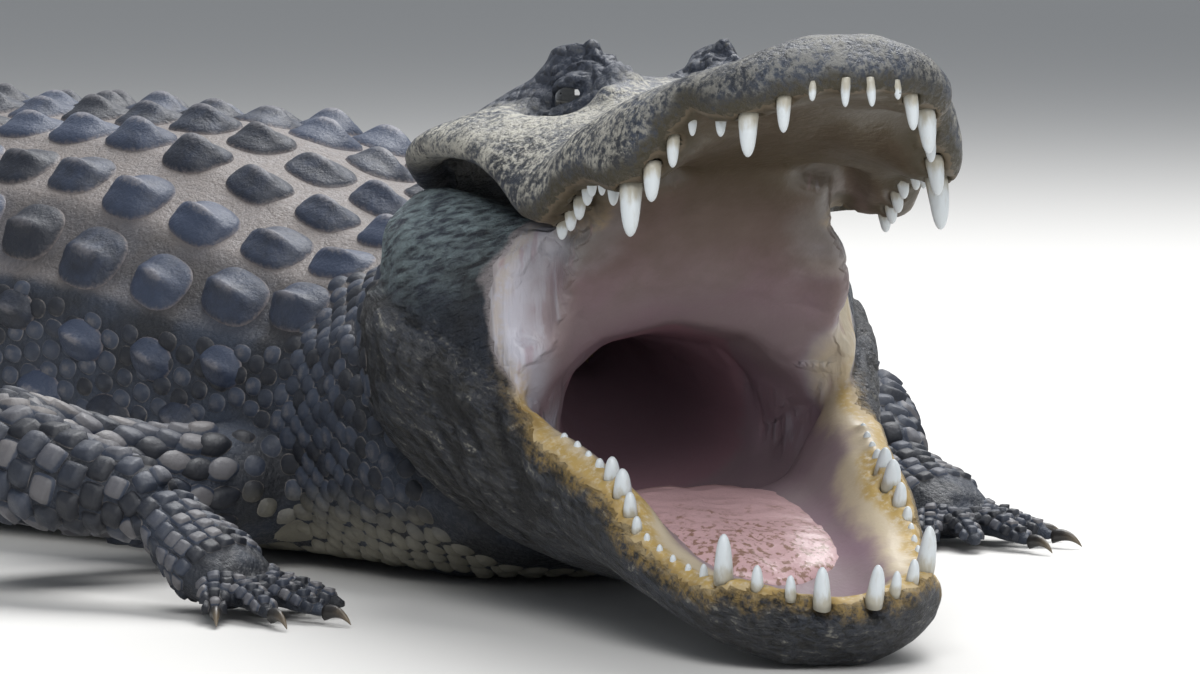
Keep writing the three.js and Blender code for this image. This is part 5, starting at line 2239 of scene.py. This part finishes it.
    def crest(self) -> Sites:
        """The tail's scutes: two rows of high keels that run together into one."""
        sites = Sites()
        u = -505.0
        while u > -2120:
            step, apart = float(self.CREST_STEP(u)), float(self.CREST_APART(u))
            columns = np.arange(-1.5, 2.0) * apart if u >= self.CREST_JOINS else np.zeros(1)
            tall = self.CREST_HEIGHT(u) * np.where(np.abs(columns) < apart, 1.0, 0.55)
            width = min(46.0, max(14.0, apart * 0.9))
            self.on_body(sites, u, columns, (step * 0.95, width, tall))
            u -= step
        return sites

    def side_mounds(self) -> Sites:
        """The smaller mounds down the sides of the trunk."""
        sites = Sites()
        for k in range(31):
            u = 415 - 29 * k
            near = (4.5 if k % 2 else 5.3) * self.COLUMN * float(self.FLANK_SPREAD(u))
            self.both_sides(sites, u, np.array([near]), (40, 30, 10.0))
        return sites

    def small(self) -> list[tuple[str, ScaleForm, Sites]]:
        """The small scales of the flanks, the belly, the neck and the tail's sides."""
        flank, belly, neck, tail = Sites(), Sites(), Sites(), Sites()
        for k in range(62):
            u = 432 - 15.5 * k
            edge = self.FLANK_EDGE * float(self.FLANK_SPREAD(u))
            arcs = np.arange(edge + 8, self.body.reach(u) - self.BELLY_HALF, 13.5)
            self.both_sides(flank, u, arcs + k % 2 * 6.7, (16.5, 13.0, 2.4))
        for k in range(31):
            u = 440 - 31 * k
            reach = self.body.reach(u)
            arcs = np.arange(reach - self.BELLY_HALF, reach - 14, 26.0)
            self.both_sides(belly, u, arcs + k % 2 * 6, (30, 25, 1.6))
        for k in range(15):
            u = 452 + 13.0 * k
            arcs = np.arange(8, self.body.reach(u) - 10, 16.0) + k % 2 * 8
            clear = (arcs > self.NAPE_HALF) | (u > self.NAPE_FRONT)
            self.both_sides(neck, u, arcs[clear], (15, 15.5, 2.6))
        u = -500.0
        while u > -2140:
            step, wide = float(self.TAIL_STEP(u)), float(self.TAIL_WIDTH(u))
            arcs = np.arange(float(self.TAIL_EDGE(u)) + wide / 2, self.body.reach(u) - 4, wide)
            self.both_sides(tail, u, arcs, (step * 0.97, wide * 0.96, 2.2))
            u -= step
        return [
            ("scales_flank", self.ROUND, flank), ("scales_belly", self.BRICK, belly),
            ("scales_neck", self.ROUND, neck), ("scales_tail", self.BRICK, tail),
        ]

    def leg_wrap(self, limb: Limb) -> Wrap:
        """The lines round a leg and on over its palm to the knuckles."""
        line = limb.line()
        length, width, height = limb.palm
        step = np.linalg.norm(line[-1] - line[-2])
        palm = np.arange(step, length * 0.95, step)[:, None]
        knuckles = line[-1] * (1, 1, 0) + (0, 0, height * 0.9)
        knuckles = knuckles + limb.direction(limb.heading) * length
        way = (knuckles - line[-1]) / np.linalg.norm(knuckles - line[-1])
        leg = limb.radius(np.linspace(0, 1, len(line)))
        radius = np.concatenate([leg, np.full(len(palm), width * 0.9)])
        return self.wrap_line(np.concatenate([line, line[-1] + way * palm]), radius, 1.5)

    def leg_rows(self, limb: Limb, tile: tuple[float, float], upper: Sites, lower: Sites) -> None:
        """Adds rows round a leg that shrink towards the wrist.

        Args:
            limb: the leg.
            tile: corner of its own part of the unwrap.
            upper: takes the lozenges of its upper part.
            lower: takes the plates below them.
        """
        wrap = self.leg_wrap(limb)
        length = wrap.stations[-1]
        big = self.HIND_LEG_SIZE if limb.name.startswith("leg") else 1.0
        k, u = 0, 0.2 * length
        while u < length - 4:
            is_upper = u < self.UPPER_LEG * length
            past = ease(np.array(u), 0.72 * length, 0.98 * length)
            step = (14.0 if is_upper else 15.0 - 6.0 * past) * big
            wide = (17.0 if is_upper else 19.0 - 8.0 * past) * big
            reach = wrap.reach(u)
            arcs = np.arange(-reach + wide * (0.5 if k % 2 else 1.0), reach, wide)
            long = step * (2.0 if is_upper else 1.22)
            tall = 4.0 if is_upper else 3.0 - 1.4 * past
            target = upper if is_upper else lower
            target.add(wrap, self.tree, u, arcs, long, wide * 1.02, tall, tile, self.off_floor)
            u += step
            k += 1

    def toe_plates(self, limb: Limb, tile: tuple[float, float], sites: Sites) -> None:
        """Adds the plates along the upper side of each toe.

        Args:
            limb: the leg that the toes belong to.
            tile: corner of its own part of the unwrap.
            sites: takes the plates.
        """
        even = np.linspace(0, 1, 9)
        narrow = limb.toe_radius * (1.15 - 0.5 * even)
        for n, (root, middle, tip, _) in enumerate(limb.toe_lines()):
            curve = bow(root, 2 * middle - (root + tip) / 2, tip, even)
            wrap = self.wrap_line(curve, narrow, 1.7)
            toe_tile = (tile[0] + 0.12, tile[1] + 0.018 * n)
            for u in np.arange(4, wrap.stations[-1], 8.5):
                half = float(np.interp(u, wrap.stations, narrow))
                arcs = np.array(self.TOE_ARCS) * half * 1.55
                size = (8.2, half * 0.95, 1.8)
                sites.add(wrap, self.tree, u, arcs, *size, toe_tile, self.off_floor)

    def legs(self) -> list[tuple[str, ScaleForm, Sites]]:
        """The scales of the legs, hands and feet."""
        made = []
        for number, limb in enumerate(LIMBS):
            tile = (0.06, 0.08 + 0.1 * number)
            lozenges, plates = Sites(), Sites()
            self.leg_rows(limb, tile, lozenges, plates)
            self.toe_plates(limb, tile, plates)
            made.append((f"scales_{limb.name}", self.LOZENGE, lozenges))
            made.append((f"plates_{limb.name}", self.SHINGLE, plates))
        return made

    def build(self) -> list[bpy.types.Object]:
        """All the pieces of scales, dressed."""
        back, rest = ScuteFinish().material(), ScaleFinish().material()
        made = [
            self.coat.lay("scutes_back", self.SCUTE, self.dorsal(), back),
            self.coat.lay("scutes_tail", self.CREST, self.crest(), back),
            self.coat.lay("scutes_side", self.SIDE_MOUND, self.side_mounds(), back),
        ]
        for name, form, sites in self.small() + self.legs():
            made.append(self.coat.lay(name, form, sites, rest))
        return made


@dataclass
class Claws:
    """The claws of all four feet."""

    around: int = 10
    rings: int = 9

    def build(self) -> bpy.types.Object:
        """The claws as one piece.

        Returns:
            The claws, with their rise from root to tip marked on them.
        """
        turn = turns(self.around)
        even = np.linspace(0, 1, self.rings)
        rise = np.concatenate([np.repeat(even, self.around), [0, 1]])
        points, faces, rises, total = [], [], [], 0
        for limb in LIMBS:
            for (_, _, tip, end), (_, _, claw) in zip(limb.toe_lines(), limb.toes):
                if not claw:
                    continue
                ray = (end - tip) / np.linalg.norm(end - tip)
                ring = np.outer(np.cos(turn), np.cross(UP, ray)) * 0.75 + np.outer(np.sin(turn), UP)
                start = tip - ray * 3 + (0, 0, 1.0)
                peak = tip + ray * claw * 0.55 + (0, 0, 0.62 * limb.toe_radius * 0.9)
                last = end * (1, 1, 0) + (0, 0, 1.4)
                wide = 0.48 * limb.toe_radius * (1 - even) ** 0.7 + 0.3
                middle = bow(start, peak, last, even)
                shape = [centre + ring * half for centre, half in zip(middle, wide)]
                body = np.concatenate(shape + [shape[0].mean(0)[None], shape[-1].mean(0)[None]])
                faces += tube_faces(total, self.around, self.rings, 1)
                rises.append(rise)
                points.append(body * MM)
                total += len(body)
        return solid("claws", np.concatenate(points), faces, rise=np.concatenate(rises))


# The studio


@dataclass
class Studio:
    """A plain pale floor, soft lights and the camera."""

    camera_place: Place = (3.605, -2.653, 0.495)
    camera_aim: Place = (0.598, -0.039, 0.146)
    lens: float = 201.42
    sensor: float = 36.0
    floor_half: float = 90.0
    sky: Colour = (0.78, 0.83, 0.90)
    sky_strength: float = 0.42

    LIGHTS = (
        ("key", (2.3, -1.6, 2.4), (0.7, -0.05, 0.15), 1.6, 52.0),
        ("sky", (-0.2, 1.5, 3.0), (0.1, 0.0, 0.15), 2.6, 190.0),
        ("fill", (3.4, -0.6, 1.0), (0.8, -0.1, 0.15), 1.4, 14.0),
    )

    def build(self) -> None:
        """Puts up everything that isn't part of the animal."""
        self.floor()
        self.camera()
        for light in self.LIGHTS:
            self.light(*light)
        world = bpy.data.worlds.new("studio")
        world.use_nodes = True
        back = world.node_tree.nodes["Background"]
        back.inputs["Color"].default_value = (*self.sky, 1.0)
        back.inputs["Strength"].default_value = self.sky_strength
        bpy.context.scene.world = world
        bpy.context.scene.view_settings.view_transform = "Standard"

    def floor(self) -> None:
        """The floor, wide enough for every view."""
        corners = [(-1, -1), (1, -1), (1, 1), (-1, 1)]
        points = np.array([(x * self.floor_half, y * self.floor_half, -0.0005) for x, y in corners])
        made = add_object("floor", new_mesh("floor", points, np.array([[0, 1, 2, 3]])))
        dress(made, FloorFinish().material())

    def camera(self) -> None:
        """The camera at the photograph's viewing angle."""
        data = bpy.data.cameras.new("camera")
        data.lens = self.lens
        data.sensor_width = self.sensor
        made = bpy.data.objects.new("camera", data)
        bpy.context.scene.collection.objects.link(made)
        made.location = self.camera_place
        aim = Vector(self.camera_aim) - made.location
        made.rotation_euler = aim.to_track_quat("-Z", "Y").to_euler()
        bpy.context.scene.camera = made

    def light(self, name: str, place: Place, aim: Place, size: float, power: float) -> None:
        """A soft square light.

        Args:
            name: its name.
            place: where it hangs.
            aim: the point it faces.
            size: length of its side.
            power: its power in watts.
        """
        data = bpy.data.lights.new(name, "AREA")
        data.size = size
        data.energy = power
        made = bpy.data.objects.new(name, data)
        bpy.context.scene.collection.objects.link(made)
        made.location = place
        made.rotation_euler = (Vector(aim) - made.location).to_track_quat("-Z", "Y").to_euler()
        made.visible_camera = False


def place(piece: bpy.types.Object, slot: str, *nodes: str, finish: object = None) -> None:
    """Gives a piece its finish, makes it ride on the body, and logs it.

    Args:
        piece: the piece.
        slot: the record's material slot that it belongs to; not used.
        nodes: the solids that it stands for.
        finish: its finish, where it has none yet.
    """
    if finish:
        dress(piece, finish.material())
    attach(piece, ROOT)
    if nodes:
        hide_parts(*nodes)
    log.info("%s: %d faces", piece.name, len(piece.data.polygons))


def main() -> None:
    """Builds the animal piece by piece, then the studio round it."""
    logging.basicConfig(level=logging.INFO, format="%(message)s")
    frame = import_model()
    rows, eyes = (UPPER_TEETH, LOWER_TEETH), Eyes()
    flesh = Flesh(frame)
    skin = Skin(flesh)
    skin.build(rows, eyes)
    hide, lining = skin.pieces()
    covered = [name for name in flesh.names if name != "cheeks"]
    place(hide, "hide", *covered, finish=HideFinish())
    place(lining, "mouth", "cheeks", finish=LiningFinish())
    for row in rows:
        place(row.build(), "teeth", finish=ToothFinish())
    for coat in Scales(hide).build():
        place(coat, "hide")
    place(Claws().build(), "claw", finish=ClawFinish())
    for side, node in ((-1, "eye_right"), (1, "eye_left")):
        place(eyes.build(side), "eye", node, finish=EyeFinish())
    place(Tongue().build(), "tongue", "tongue", finish=TongueFinish())
    Studio().build()


if __name__ == "__main__":
    main()
